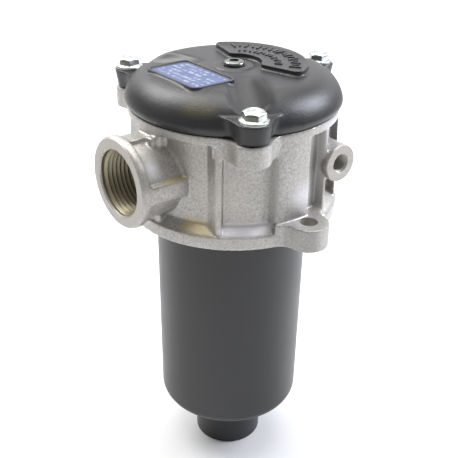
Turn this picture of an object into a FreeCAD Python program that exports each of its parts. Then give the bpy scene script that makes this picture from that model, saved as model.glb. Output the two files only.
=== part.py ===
"""Return line filter for a tank top: cast head, nylon cover, bowl and pleated element.

Millimetres. The origin is the centre of the mounting face, +Z is up, the inlet port
looks along -X and the two tank lugs lie along Y.
"""

import FreeCAD, Part
import math
import os

import Sketcher
from FreeCAD import Placement, Rotation, Vector

NODE_FOLDER = "parts"

# Driving dimensions: alias, value in mm (or degrees, or a count), what it is
DIMENSIONS = [
    ("flange_radius", 56.0, "mounting flange"),
    ("flange_thick", 6.8, "mounting flange"),
    ("lug_reach", 60.0, "tank bolt hole from the axis"),
    ("lug_tip", 10.3, "round end of a lug"),
    ("lug_thick", 11.9, "height of a lug"),
    ("lug_blend", 8.0, "hollow between lug and flange"),
    ("tank_hole_radius", 4.5, "clearance hole for M8"),
    ("wall_foot_radius", 55.0, "cast wall at the flange"),
    ("wall_top_radius", 54.0, "cast wall at the rim"),
    ("wall_thick", 3.5, "cast wall behind the pockets"),
    ("head_height", 57.2, "joint with the cover"),
    ("rim_depth", 4.2, "unbroken band under the joint"),
    ("chamber_radius", 46.5, "bore of the head"),
    ("ledge_height", 10.0, "seat of the bowl's rim"),
    ("floor_rise", 3.7, "slope of a pocket's floor"),
    ("rib_left_x", 39.6, "port side of the outer ribs"),
    ("rib_root_x", 34.3, "other side of the outer ribs, at the root"),
    ("rib_draft", 46.0, "lean of that side, in degrees"),
    ("panel_left_root_x", 16.2, "edge of the plain panel, at the root"),
    ("panel_draft", 14.0, "lean of that edge, in degrees"),
    ("panel_right_x", 4.4, "straight edge of the plain panel"),
    ("slot_end_root_x", 14.4, "thin rib beside the slot, at the root"),
    ("slot_draft", 34.0, "lean of the thin rib, in degrees"),
    ("fin_end_root_x", 20.0, "far side of the thin rib, at the root"),
    ("fin_draft", 14.0, "lean of that side, in degrees"),
    ("pocket_end_x", 38.0, "far end of the long pocket"),
    ("port_flat_y", 10.5, "full wall beside the port"),
    ("boss_reach", 59.4, "cover bolt from the axis"),
    ("lobe_inset", 1.6, "round end's centre inwards of the bolt"),
    ("boss_tip", 9.0, "round end of a bolt boss"),
    ("boss_blend", 14.0, "hollow between boss and wall"),
    ("boss_depth", 10.3, "height of a bolt boss"),
    ("lobe_bite", 0.6, "how far a lobe's outline runs inside its wall"),
    ("bolt_count", 3, "cover bolts"),
    ("port_height", 29.4, "axis of the inlet port"),
    ("port_reach", 70.5, "face of the inlet port"),
    ("port_rim_radius", 23.1, "rim of the inlet port"),
    ("port_rim_thick", 4.5, "rim of the inlet port"),
    ("port_neck_radius", 20.3, "neck behind the rim"),
    ("port_saddle_rise", 4.6, "top of the thick lower half"),
    ("port_bore_radius", 15.145, "G1 thread, minor"),
    ("port_mouth_radius", 17.4, "entry chamfer of the thread"),
    ("port_rib_width", 10.0, "web on top of the neck"),
    ("port_rib_drop", 1.2, "web below the rim's top"),
    ("nub_radius", 2.1, "ejector nub beside the web"),
    ("nub_x", 55.0, "ejector nub"),
    ("nub_y", 7.6, "ejector nub"),
    ("nub_low", 40.0, "foot of the ejector nub"),
    ("nub_height", 12.0, "ejector nub"),
    ("gauge_x", 25.6, "axis of the gauge port"),
    ("gauge_height", 34.0, "axis of the gauge port"),
    ("gauge_reach", 54.0, "face of the gauge port"),
    ("gauge_boss_radius", 9.7, "boss of the gauge port"),
    ("gauge_bore_radius", 4.283, "G1/8 thread, minor"),
    ("gauge_mouth_radius", 5.1, "entry chamfer of the thread"),
    ("edge_chamfer", 1.2, "machined edges"),
    ("cover_foot_radius", 53.2, "cover at the joint"),
    ("cover_side_radius", 55.6, "widest part of the cover"),
    ("cover_side_rise", 3.6, "height of the widest part"),
    ("cover_flat_radius", 38.2, "flat top of the cover"),
    ("cover_rise", 17.8, "flat top above the joint"),
    ("cover_lobe_foot", 7.6, "round end of a cover lobe at the joint"),
    ("cover_lobe_tip", 9.2, "round end of a cover lobe at the bolt seat"),
    ("cover_foot_blend", 10.0, "hollow beside a cover lobe at the joint"),
    ("cover_tip_blend", 16.0, "hollow beside a cover lobe at the bolt seat"),
    ("cover_lobe_rise", 9.9, "bolt seat above the joint"),
    ("seat_margin", 1.6, "flat round a bolt's flange"),
    ("valley_radius", 11.0, "scooped valley to each bolt"),
    ("valley_start", 15.0, "start of a valley from the axis"),
    ("valley_gap", 10.4, "where a valley meets the bolt seat, inwards of the bolt"),
    ("cover_ceiling_drop", 4.2, "cover wall at the centre"),
    ("spigot_wall", 4.5, "chamber wall to the hollow of the cover"),
    ("cover_hollow_rise", 4.0, "hollow at its edge above the joint"),
    ("spigot_depth", 6.0, "cover spigot in the head"),
    ("seal_radius", 1.4, "cord of the cover seal"),
    ("slip", 0.3, "clearance of a located diameter"),
    ("hub_radius", 10.0, "raised disc round the centre screw"),
    ("hub_rise", 0.9, "raised disc round the centre screw"),
    ("arc_inner_radius", 14.0, "raised arc plate"),
    ("arc_outer_radius", 37.0, "raised arc plate"),
    ("arc_rise", 2.5, "raised arc plate above the flat top"),
    ("arc_rim", 1.5, "rim round the arc plate's field"),
    ("arc_recess", 0.7, "field below the rim"),
    ("arc_inner_angle", 60.0, "half angle of its inner edge"),
    ("arc_outer_angle", 69.0, "half angle of its outer edge"),
    ("arc_round", 3.8, "corners of the arc plate"),
    ("label_centre_x", 27.0, "label from the axis"),
    ("label_width", 22.5, "label along X"),
    ("label_length", 38.5, "label along Y"),
    ("label_thick", 0.4, "label"),
    ("label_corner", 3.2, "round corners of the label's seat"),
    ("label_frame", 1.2, "raised frame round the label"),
    ("label_frame_rise", 0.9, "raised frame above the seat"),
    ("bolt_radius", 3.0, "M6"),
    ("bolt_length", 20.0, "cover bolt under its head"),
    ("bolt_flange_radius", 7.05, "flange of the bolt head"),
    ("bolt_flange_thick", 1.3, "flange of the bolt head"),
    ("bolt_hex_flats", 10.0, "across the flats"),
    ("bolt_head_height", 5.6, "flange and hexagon"),
    ("thread_slip", 0.05, "clearance between mating threads"),
    ("hole_slip", 0.3, "clearance round a shank"),
    ("screw_head_radius", 5.25, "button head"),
    ("screw_head_height", 2.0, "button head"),
    ("screw_length", 16.0, "centre screw under its head"),
    ("socket_flats", 4.0, "hexagon socket"),
    ("socket_depth", 1.5, "hexagon socket"),
    ("ring_radius", 5.1, "sealing ring under the screw head"),
    ("ring_thick", 0.8, "sealing ring under the screw head"),
    ("ring_recess_radius", 6.4, "recess of the sealing ring"),
    ("ledge_width", 4.6, "seat of the bowl's rim"),
    ("bowl_taper", 0.6, "bowl narrower at its foot"),
    ("bowl_drop", 126.0, "bowl bottom below the tank face"),
    ("bowl_round", 6.8, "outer edge of the bowl bottom"),
    ("bowl_wall", 2.5, "bowl"),
    ("bowl_rim_thick", 3.0, "bowl rim on the ledge"),
    ("throat_slip", 0.9, "bowl in the throat of the head"),
    ("outlet_drop", 158.0, "end of the outlet below the tank face"),
    ("outlet_radius", 19.6, "outlet"),
    ("outlet_edge", 0.8, "chamfer at the outlet's end"),
    ("outlet_bore", 16.0, "outlet bore"),
    ("outlet_collar_rise", 7.5, "outlet collar inside the bowl"),
    ("bowl_seal_radius", 1.3, "cord of the bowl seal"),
    ("element_gap", 4.4, "end caps to the bowl"),
    ("cap_thick", 2.5, "end caps of the element"),
    ("cap_skirt", 6.0, "skirt of an end cap"),
    ("cap_wall", 1.0, "skirt of an end cap"),
    ("cap_gap", 0.3, "bonded gap round the pleats"),
    ("media_height", 151.5, "pleated pack between the caps"),
    ("pleat_gap", 5.0, "pleats to the core tube"),
    ("pleat_thick", 0.8, "layers of a pleat"),
    ("pleat_count", 36, "pleats"),
    ("core_bore", 15.2, "perforated core tube"),
    ("core_wall", 1.0, "perforated core tube"),
    ("core_rows", 5, "rows of windows in the core tube"),
    ("neck_length", 14.0, "neck of the bottom cap in the outlet"),
    ("neck_slip", 0.3, "neck in the outlet bore"),
    ("neck_wall", 3.6, "neck of the bottom cap"),
    ("element_seal_radius", 1.3, "cord of the element seal"),
    ("valve_hole", 9.5, "bypass opening in the top cap"),
    ("poppet_radius", 11.3, "disc of the bypass poppet"),
    ("poppet_thick", 2.0, "disc of the bypass poppet"),
    ("stem_radius", 2.5, "stem of the bypass poppet"),
    ("stem_length", 25.0, "stem below the disc"),
    ("cage_radius", 14.4, "cage of the bypass valve"),
    ("cage_wall", 1.2, "cage of the bypass valve"),
    ("cage_depth", 24.0, "cage of the bypass valve"),
    ("cage_window", 8.0, "flow windows of the cage"),
    ("valve_spring_radius", 6.5, "bypass spring, middle of the wire"),
    ("valve_wire", 0.65, "wire radius of the bypass spring"),
    ("valve_coils", 5, "turns of the bypass spring"),
    ("cup_radius", 19.0, "spring cup under the cover"),
    ("cup_thick", 1.5, "spring cup under the cover"),
    ("cup_skirt", 3.5, "spring cup under the cover"),
    ("cup_boss_radius", 5.0, "tapped boss of the spring cup"),
    ("cup_boss_length", 6.0, "tapped boss of the spring cup"),
    ("load_spring_radius", 15.5, "hold-down spring, middle of the wire"),
    ("load_wire", 1.0, "wire radius of the hold-down spring"),
    ("load_coils", 4, "turns of the hold-down spring"),
    ("bail_radius", 26.0, "wire handle"),
    ("bail_wire", 1.3, "wire radius of the handle"),
    ("bail_rise", 2.6, "pivot above the top cap"),
    ("bail_pin", 4.4, "pivot end of the handle"),
    ("ear_width", 6.0, "ears of the top cap"),
    ("ear_thick", 2.0, "ears of the top cap"),
    ("ear_gap", 1.6, "ear to the wire's middle"),
    ("pivot_slip", 0.05, "running clearance"),
]

UP = Rotation()
ALONG_X = Rotation(Vector(0, 1, 0), 90)
ALONG_Y = Rotation(Vector(1, 0, 0), -90)

doc = FreeCAD.newDocument("return_line_filter")
sheet = doc.addObject("Spreadsheet::Sheet", "dims")
for row, (alias, size, meaning) in enumerate(DIMENSIONS, start=1):
    sheet.set("A%d" % row, alias)
    sheet.set("B%d" % row, str(size))
    sheet.set("C%d" % row, meaning)
    sheet.setAlias("B%d" % row, alias)
doc.recompute()


def value(formula):
    """The number that a formula on the sheet gives."""
    return float(sheet.evalExpression(formula))


# Places that several pieces share, as formulas on the sheet
JOINT = "dims.head_height"
COVER_TOP = "(dims.head_height + dims.cover_rise)"
HUB_TOP = "(dims.head_height + dims.cover_rise + dims.hub_rise)"
CEILING = "(dims.head_height + dims.cover_rise - dims.cover_ceiling_drop)"
BOLT_SEAT = "(dims.head_height + dims.cover_lobe_rise)"
WALL_ROOT = "(dims.chamber_radius + dims.wall_thick)"
THROAT = "(dims.chamber_radius - dims.ledge_width)"
BOWL_RADIUS = "(dims.chamber_radius - dims.ledge_width - dims.throat_slip)"
BOWL_FOOT = "(%s - dims.bowl_taper)" % BOWL_RADIUS
CAP_RADIUS = "(%s - dims.bowl_wall - dims.element_gap)" % BOWL_FOOT
HOLLOW = "(dims.chamber_radius - dims.spigot_wall)"
LOBE_CENTRE = "(dims.boss_reach - dims.lobe_inset)"
BOWL_INSIDE = "(dims.bowl_wall - dims.bowl_drop)"
COLLAR_TOP = "(dims.bowl_wall - dims.bowl_drop + dims.outlet_collar_rise)"
MEDIA_LOW = "(dims.bowl_wall - dims.bowl_drop + dims.outlet_collar_rise + dims.cap_thick)"
MEDIA_HIGH = "(%s + dims.media_height)" % MEDIA_LOW
CAP_TOP = "(%s + dims.cap_thick)" % MEDIA_HIGH
CAGE_FLOOR = "(%s - dims.cage_depth)" % MEDIA_HIGH


def place(piece, x="0", y="0", z="0", turn=UP):
    """Put a piece at formulas on the sheet, turned by a fixed rotation."""
    piece.Placement = Placement(Vector(0, 0, 0), turn)
    for axis, formula in (("x", x), ("y", y), ("z", z)):
        piece.setExpression("Placement.Base." + axis, formula)
    return piece


def cylinder(name, radius, height, x="0", y="0", z="0", turn=UP):
    """A bound cylinder from its base point along its turned axis."""
    piece = doc.addObject("Part::Cylinder", name)
    piece.setExpression("Radius", radius)
    piece.setExpression("Height", height)
    return place(piece, x, y, z, turn)


def cone(name, radius_low, radius_high, height, x="0", y="0", z="0", turn=UP):
    """A bound cone from its base point along its turned axis."""
    piece = doc.addObject("Part::Cone", name)
    piece.setExpression("Radius1", radius_low)
    piece.setExpression("Radius2", radius_high)
    piece.setExpression("Height", height)
    return place(piece, x, y, z, turn)


def box(name, x_range, y_range, z_range, turn=UP):
    """A bound box between pairs of formulas, turned about Z through the origin."""
    piece = doc.addObject("Part::Box", name)
    for prop, (low, high) in (("Length", x_range), ("Width", y_range), ("Height", z_range)):
        piece.setExpression(prop, "(%s) - (%s)" % (high, low))
    if turn.Angle == 0:
        return place(piece, x_range[0], y_range[0], z_range[0])
    angle = math.degrees(turn.Angle) * (1 if turn.Axis.z > 0 else -1)
    x = "(%s) * cos(%.6f) - (%s) * sin(%.6f)" % (x_range[0], angle, y_range[0], angle)
    y = "(%s) * sin(%.6f) + (%s) * cos(%.6f)" % (x_range[0], angle, y_range[0], angle)
    return place(piece, x, y, z_range[0], turn)


def fuse(name, pieces):
    """One solid from several pieces."""
    piece = doc.addObject("Part::MultiFuse", name)
    piece.Shapes = pieces
    piece.Refine = True
    return piece


def cut(name, base, tools):
    """A base less its tools."""
    piece = doc.addObject("Part::Cut", name)
    piece.Base = base
    piece.Tool = tools[0] if len(tools) == 1 else fuse(name + "_tools", tools)
    piece.Refine = True
    return piece


def cut_in_turn(name, base, tools):
    """A base less its tools, taken away one after another."""
    for number, tool in enumerate(tools[:-1], start=1):
        base = cut("%s_step_%d" % (name, number), base, [tool])
    return cut(name, base, tools[-1:])


def common(name, pieces):
    """What several pieces share."""
    piece = doc.addObject("Part::MultiCommon", name)
    piece.Shapes = pieces
    piece.Refine = True
    return piece


def origin_feature(body, role):
    """One of a body's own origin planes or axes."""
    return next(item for item in body.Origin.OriginFeatures if item.Role == role)


def new_sketch(body, name, plane, height="0"):
    """A sketch on one of the body's origin planes, raised by a formula."""
    sketch = body.newObject("Sketcher::SketchObject", name)
    sketch.AttachmentSupport = [(origin_feature(body, plane), "")]
    sketch.MapMode = "FlatFace"
    sketch.setExpression("AttachmentOffset.Base.z", height)
    return sketch


def constrain(sketch, formula, *arguments):
    """Add a sketch dimension that follows a formula."""
    index = sketch.addConstraint(Sketcher.Constraint(*arguments, value(formula)))
    sketch.setExpression("Constraints[%d]" % index, formula)


def arc_between(start, end, radius, bulge_left):
    """The short arc of a radius from start to end, and whether it runs anticlockwise."""
    chord = end - start
    middle = (start + end) * 0.5
    height = math.sqrt(max(radius * radius - chord.Length ** 2 / 4, 0.0))
    normal = Vector(-chord.y, chord.x, 0).normalize()
    centre = middle - normal * height if bulge_left else middle + normal * height
    circle = Part.Circle(centre, Vector(0, 0, 1), radius)
    angle = [math.atan2(p.y - centre.y, p.x - centre.x) for p in (start, end)]
    if bulge_left:
        return Part.ArcOfCircle(circle, angle[1], angle[0]), False
    return Part.ArcOfCircle(circle, angle[0], angle[1]), True


def closed_outline(sketch, corners, arcs=None):
    """A closed outline whose corners are formulas.

    arcs maps an edge's number to (radius formula, whether it bulges to the left).
    """
    arcs = arcs or {}
    points = [Vector(value(x), value(y), 0) for x, y in corners]
    count = len(points)
    ends = []
    for index in range(count):
        start, end = points[index], points[(index + 1) % count]
        if index in arcs:
            radius, bulge_left = arcs[index]
            curve, forward = arc_between(start, end, value(radius), bulge_left)
            sketch.addGeometry(curve)
            ends.append((1, 2) if forward else (2, 1))
        else:
            sketch.addGeometry(Part.LineSegment(start, end))
            ends.append((1, 2))
    for index in range(count):
        following = (index + 1) % count
        sketch.addConstraint(
            Sketcher.Constraint("Coincident", index, ends[index][1], following, ends[following][0])
        )
    for index, (x, y) in enumerate(corners):
        constrain(sketch, x, "DistanceX", -1, 1, index, ends[index][0])
        constrain(sketch, y, "DistanceY", -1, 1, index, ends[index][0])
    for index, (radius, _) in arcs.items():
        constrain(sketch, radius, "Radius", index)


def revolved(name, corners, arcs=None):
    """A turned piece: a closed outline of (radius, height) corners spun about Z."""
    body = doc.addObject("PartDesign::Body", name)
    sketch = new_sketch(body, name + "_outline", "XZ_Plane")
    closed_outline(sketch, corners, arcs)
    turned = body.newObject("PartDesign::Revolution", name + "_turned")
    turned.Profile = sketch
    turned.ReferenceAxis = (sketch, ["V_Axis"])
    turned.Angle = 360
    sketch.Visibility = False
    return body


def padded(name, height, length, draw):
    """A body padded upwards from a sketch that draw fills, and its pad."""
    body = doc.addObject("PartDesign::Body", name)
    sketch = new_sketch(body, name + "_outline", "XY_Plane", height)
    draw(sketch)
    pad = body.newObject("PartDesign::Pad", name + "_pad")
    pad.Profile = sketch
    pad.setExpression("Length", length)
    return body, pad


def ring_of(body, feature, count):
    """Repeat a body's feature about Z."""
    pattern = body.newObject("PartDesign::PolarPattern", body.Name + "_ring")
    pattern.Originals = [feature]
    pattern.Axis = (origin_feature(body, "Z_Axis"), [""])
    pattern.Angle = 360
    pattern.setExpression("Occurrences", count)
    body.Tip = pattern


def draw_lobe(sketch, reach, tip, base, blend):
    """A round-ended lobe along +X, blended into a base circle by hollow arcs."""
    reach_mm, tip_mm, base_mm, blend_mm = (value(size) for size in (reach, tip, base, blend))
    along = (reach_mm ** 2 + (base_mm + blend_mm) ** 2 - (tip_mm + blend_mm) ** 2) / (2 * reach_mm)
    across = math.sqrt((base_mm + blend_mm) ** 2 - along ** 2)
    end_centre = Vector(reach_mm, 0, 0)
    origin = Vector(0, 0, 0)
    flat = Vector(0, 0, 1)

    def side(sign):
        centre = Vector(along, sign * across, 0)
        foot = centre * (base_mm / (base_mm + blend_mm))
        shoulder = end_centre + (centre - end_centre) * (tip_mm / (tip_mm + blend_mm))
        return centre, foot, shoulder

    def bearing(centre, point):
        return math.atan2(point.y - centre.y, point.x - centre.x)

    low_centre, low_foot, low_shoulder = side(-1)
    high_centre, high_foot, high_shoulder = side(1)
    low_blend = Part.ArcOfCircle(
        Part.Circle(low_centre, flat, blend_mm),
        bearing(low_centre, low_shoulder), bearing(low_centre, low_foot),
    )
    end_arc = Part.ArcOfCircle(
        Part.Circle(end_centre, flat, tip_mm),
        bearing(end_centre, low_shoulder), bearing(end_centre, high_shoulder),
    )
    high_blend = Part.ArcOfCircle(
        Part.Circle(high_centre, flat, blend_mm),
        bearing(high_centre, high_foot), bearing(high_centre, high_shoulder),
    )
    sketch.addGeometry(Part.LineSegment(origin, low_foot))
    sketch.addGeometry(low_blend)
    sketch.addGeometry(end_arc)
    sketch.addGeometry(high_blend)
    sketch.addGeometry(Part.LineSegment(high_foot, origin))
    for pair in ((0, 1, -1, 1), (0, 2, 1, 2), (3, 1, 4, 1), (4, 2, -1, 1)):
        sketch.addConstraint(Sketcher.Constraint("Coincident", *pair))
    sketch.addConstraint(Sketcher.Constraint("Tangent", 1, 1, 2, 1))
    sketch.addConstraint(Sketcher.Constraint("Tangent", 2, 2, 3, 2))
    sketch.addConstraint(Sketcher.Constraint("PointOnObject", 1, 3, 0))
    sketch.addConstraint(Sketcher.Constraint("PointOnObject", 3, 3, 4))
    sketch.addConstraint(Sketcher.Constraint("PointOnObject", 2, 3, -1))
    constrain(sketch, reach, "DistanceX", -1, 1, 2, 3)
    constrain(sketch, tip, "Radius", 2)
    constrain(sketch, blend, "Radius", 1)
    constrain(sketch, blend, "Radius", 3)
    constrain(sketch, base, "Distance", 0)
    constrain(sketch, base, "Distance", 4)


def lobes(name, count, first_angle, low, length, outline):
    """A ring of lobes whose outline is (reach, tip, base, blend)."""
    body, pad = padded(name, low, length, lambda sketch: draw_lobe(sketch, *outline))
    ring_of(body, pad, count)
    body.Placement = Placement(Vector(0, 0, 0), Rotation(Vector(0, 0, 1), first_angle))
    return body


def widening_lobes(name, count, low, high, foot, crown):
    """A ring of lobes from a foot outline to a crown outline above it."""
    body = doc.addObject("PartDesign::Body", name)
    sketches = []
    for part, height, outline in (("foot", low, foot), ("crown", high, crown)):
        sketch = new_sketch(body, "%s_%s" % (name, part), "XY_Plane", height)
        draw_lobe(sketch, *outline)
        sketches.append(sketch)
    loft = body.newObject("PartDesign::AdditiveLoft", name + "_loft")
    loft.Profile = sketches[0]
    loft.Sections = sketches[1:]
    loft.Ruled = True
    ring_of(body, loft, count)
    return body


def around(count_alias, radius):
    """Centres on a circle of a radius formula, as pairs of formulas."""
    count = int(value("dims." + count_alias))
    step = 360.0 / count
    return [
        ("(%s) * cos(%g)" % (radius, step * n), "(%s) * sin(%g)" % (radius, step * n))
        for n in range(count)
    ]


def draw_pocket(sketch, side, left, right):
    """A pocket seen from above, on the side of -Y or +Y.

    left and right are flanks: the x of its root and how x changes for each millimetre outwards.
    """
    outside = "(dims.flange_radius + dims.lug_tip)"
    corners = []
    for x, lean in (left, right):
        root = "sqrt((%s - dims.slip) ^ 2 - (%s) ^ 2)" % (WALL_ROOT, x)
        inner = (x, "%s%s" % (side, root))
        outer = ("%s + (%s - %s) * (%s)" % (x, outside, root, lean), "%s%s" % (side, outside))
        corners.append((inner, outer))
    closed_outline(sketch, [corners[0][1], corners[1][1], corners[1][0], corners[0][0]])


def head_pockets():
    """The pockets that leave ribs on both long sides of the cast wall, with sloping floors."""
    outside = "(dims.flange_radius + dims.lug_tip)"
    height = "dims.head_height - dims.rim_depth - dims.flange_thick"
    drafted = [
        ("boss_pocket", ("-dims.rib_root_x", "-tan(dims.rib_draft)"),
         ("-dims.panel_left_root_x", "tan(dims.panel_draft)")),
        ("slot_pocket", ("dims.panel_right_x", "0"), ("dims.slot_end_root_x", "tan(dims.slot_draft)")),
        ("long_pocket", ("dims.fin_end_root_x", "-tan(dims.fin_draft)"), ("dims.pocket_end_x", "0")),
    ]
    spaces = []
    for view, side, inner, outer in (("front", "-", "-" + outside, "-dims.port_flat_y"),
                                     ("back", "", "dims.port_flat_y", outside)):
        spaces.append(box("port_pocket_" + view, ("-" + outside, "-dims.rib_left_x"), (inner, outer),
                          ("dims.flange_thick", "dims.head_height - dims.rim_depth")))
        for name, left, right in drafted:
            body, _ = padded("%s_%s" % (name, view), "dims.flange_thick", height,
                             lambda sketch: draw_pocket(sketch, side, left, right))
            spaces.append(body)
    shell = cut("pocket_shell", cylinder("pocket_outside", outside, JOINT), [
        cylinder("pocket_root", WALL_ROOT, JOINT),
        cone("pocket_floor", "dims.wall_foot_radius", WALL_ROOT, "dims.floor_rise", z="dims.flange_thick"),
    ])
    return common("pockets", [shell, fuse("pocket_spaces", spaces)])


def inlet_port_solid():
    """The inlet's rim, neck, thick lower half and the web on top."""
    chamfer = "dims.edge_chamfer"
    root = "(dims.port_reach - dims.chamber_radius)"
    face = "-dims.port_reach"
    height = "dims.port_height"
    rim = fuse("port_rim", [
        cone("port_rim_edge", "dims.port_rim_radius - " + chamfer, "dims.port_rim_radius",
             chamfer, face, "0", height, ALONG_X),
        cylinder("port_rim_band", "dims.port_rim_radius", "dims.port_rim_thick - " + chamfer,
                 face + " + " + chamfer, "0", height, ALONG_X),
    ])
    neck = cylinder("port_neck", "dims.port_neck_radius", root, face + " + " + chamfer, "0", height, ALONG_X)
    saddle = common("port_saddle", [
        cylinder("port_saddle_round", "dims.port_rim_radius", root, face + " + " + chamfer, "0", height,
                 ALONG_X),
        box("port_saddle_box", (face, "0"), ("-dims.port_rim_radius", "dims.port_rim_radius"),
            (height + " - dims.port_rim_radius", height + " + dims.port_saddle_rise")),
    ])
    web = box("port_web", (face + " + " + chamfer, "-dims.chamber_radius"),
              ("-dims.port_rib_width / 2", "dims.port_rib_width / 2"),
              (height, height + " + dims.port_rim_radius - dims.port_rib_drop"))
    nub = cylinder("port_nub", "dims.nub_radius", "dims.nub_height", "-dims.nub_x", "-dims.nub_y",
                   "dims.nub_low")
    return [rim, neck, saddle, web, nub]


def threaded_bore(name, bore, mouth, depth, x, y, z, turn):
    """A plain bore at the thread's minor diameter with its entry chamfer."""
    entry = "(%s - %s)" % (mouth, bore)
    return [
        cylinder(name, bore, depth, x, y, z, turn),
        cone(name + "_entry", mouth, bore, entry, x, y, z, turn),
    ]


def filter_head():
    """The die-cast head: flange with lugs, ribbed wall, ports and bolt bosses."""
    wall = cut("ribbed_wall", cone("cast_wall", "dims.wall_foot_radius", "dims.wall_top_radius", JOINT),
               [head_pockets()])
    flange = cylinder("flange", "dims.flange_radius", "dims.flange_thick")
    lugs = lobes("tank_lugs", "2", 90, "0", "dims.lug_thick",
                 ("dims.lug_reach", "dims.lug_tip", "dims.flange_radius", "dims.lug_blend"))
    bosses = lobes("bolt_bosses", "dims.bolt_count", 0, JOINT + " - dims.boss_depth", "dims.boss_depth",
                   (LOBE_CENTRE, "dims.boss_tip", "dims.wall_top_radius - dims.lobe_bite",
                    "dims.boss_blend"))
    gauge = fuse("gauge_boss", [
        cone("gauge_edge", "dims.gauge_boss_radius - dims.edge_chamfer / 2", "dims.gauge_boss_radius",
             "dims.edge_chamfer / 2", "dims.gauge_x", "-dims.gauge_reach", "dims.gauge_height", ALONG_Y),
        cylinder("gauge_round", "dims.gauge_boss_radius", "dims.gauge_reach - dims.chamber_radius / 2",
                 "dims.gauge_x", "-dims.gauge_reach + dims.edge_chamfer / 2", "dims.gauge_height", ALONG_Y),
    ])
    solid = fuse("head_solid", [wall, flange, lugs, bosses, gauge] + inlet_port_solid())

    tools = [
        cylinder("chamber", "dims.chamber_radius", JOINT, z="dims.ledge_height"),
        cylinder("throat", THROAT, JOINT, z="-dims.ledge_height"),
        cone("chamber_entry", "dims.chamber_radius", "dims.chamber_radius + dims.edge_chamfer / 2",
             "dims.edge_chamfer / 2", z=JOINT + " - dims.edge_chamfer / 2"),
        bowl_seal_groove(),
    ]
    tools += threaded_bore("inlet_bore", "dims.port_bore_radius", "dims.port_mouth_radius",
                           "dims.port_reach - dims.chamber_radius / 2", "-dims.port_reach", "0",
                           "dims.port_height", ALONG_X)
    tools += threaded_bore("gauge_bore", "dims.gauge_bore_radius", "dims.gauge_mouth_radius",
                           "dims.gauge_reach - dims.chamber_radius / 2", "dims.gauge_x",
                           "-dims.gauge_reach", "dims.gauge_height", ALONG_Y)
    for index, (x, y) in enumerate(around("bolt_count", "dims.boss_reach"), start=1):
        tools.append(cylinder("boss_hole_%d" % index, "dims.bolt_radius + dims.thread_slip", JOINT,
                              x, y, JOINT + " - dims.boss_depth - dims.edge_chamfer"))
    for side, y in (("front", "-dims.lug_reach"), ("back", "dims.lug_reach")):
        tools.append(cylinder("tank_hole_" + side, "dims.tank_hole_radius", JOINT, "0", y,
                              "-dims.flange_thick"))
    return cut("filter_head", solid, tools)


SEAL_GROOVE_MIDDLE = "((dims.chamber_radius + %s) / 2)" % THROAT


def bowl_seal_groove():
    """The groove in the ledge that holds the bowl's seal."""
    half = "(dims.bowl_seal_radius + dims.thread_slip)"
    low = "(dims.ledge_height - 2 * dims.bowl_seal_radius + dims.thread_slip)"
    return cut("bowl_seal_groove", cylinder("seal_groove_outside", SEAL_GROOVE_MIDDLE + " + " + half,
                                            JOINT, z=low), [
        cylinder("seal_groove_inside", SEAL_GROOVE_MIDDLE + " - " + half, "2 * " + JOINT,
                 z=low + " - dims.ledge_height"),
    ])


def torus(name, ring, cord, z):
    """A bound ring of round cord about Z."""
    piece = doc.addObject("Part::Torus", name)
    piece.setExpression("Radius1", ring)
    piece.setExpression("Radius2", cord)
    return place(piece, z=z)


def bowl_seal():
    """The O-ring under the bowl's rim, as flat as its groove leaves it."""
    return torus("bowl_seal", SEAL_GROOVE_MIDDLE, "dims.bowl_seal_radius - dims.thread_slip",
                 "dims.ledge_height - dims.bowl_seal_radius + dims.thread_slip")


def bowl():
    """The bowl: rim, tapered wall, rounded bottom and outlet in one piece."""
    rim = "(dims.chamber_radius - dims.slip)"
    rim_top = "(dims.ledge_height + dims.bowl_rim_thick)"
    edge_out = "(%s - dims.bowl_round)" % BOWL_FOOT
    edge_z = "(dims.bowl_round - dims.bowl_drop)"
    return revolved("bowl", [
        ("dims.outlet_bore", "-dims.outlet_drop"),
        ("dims.outlet_radius - dims.outlet_edge", "-dims.outlet_drop"),
        ("dims.outlet_radius", "dims.outlet_edge - dims.outlet_drop"),
        ("dims.outlet_radius", "-dims.bowl_drop"),
        (edge_out, "-dims.bowl_drop"),
        (BOWL_FOOT, edge_z),
        (BOWL_RADIUS, "dims.ledge_height"),
        (rim, "dims.ledge_height"),
        (rim, rim_top),
        (BOWL_RADIUS + " - dims.bowl_wall", rim_top),
        (BOWL_FOOT + " - dims.bowl_wall", edge_z),
        (edge_out, BOWL_INSIDE),
        ("dims.outlet_radius", BOWL_INSIDE),
        ("dims.outlet_radius", COLLAR_TOP),
        ("dims.outlet_bore", COLLAR_TOP),
    ], {4: ("dims.bowl_round", False), 10: ("dims.bowl_round - dims.bowl_wall", True)})


def draw_arc_plate(sketch, inset):
    """The outline of the raised arc plate less an inset, symmetric about X."""
    inner = "(dims.arc_inner_radius + %s)" % inset
    outer = "(dims.arc_outer_radius - %s)" % inset
    inner_at = "(dims.arc_inner_angle - %s / %s * 180 / pi)" % (inset, inner)
    outer_at = "(dims.arc_outer_angle - %s / %s * 180 / pi)" % (inset, outer)
    closed_outline(sketch, [
        ("%s * cos(%s)" % (outer, outer_at), "-%s * sin(%s)" % (outer, outer_at)),
        ("%s * cos(%s)" % (outer, outer_at), "%s * sin(%s)" % (outer, outer_at)),
        ("%s * cos(%s)" % (inner, inner_at), "%s * sin(%s)" % (inner, inner_at)),
        ("%s * cos(%s)" % (inner, inner_at), "-%s * sin(%s)" % (inner, inner_at)),
    ], {0: (outer, False), 2: (inner, True)})


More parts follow.
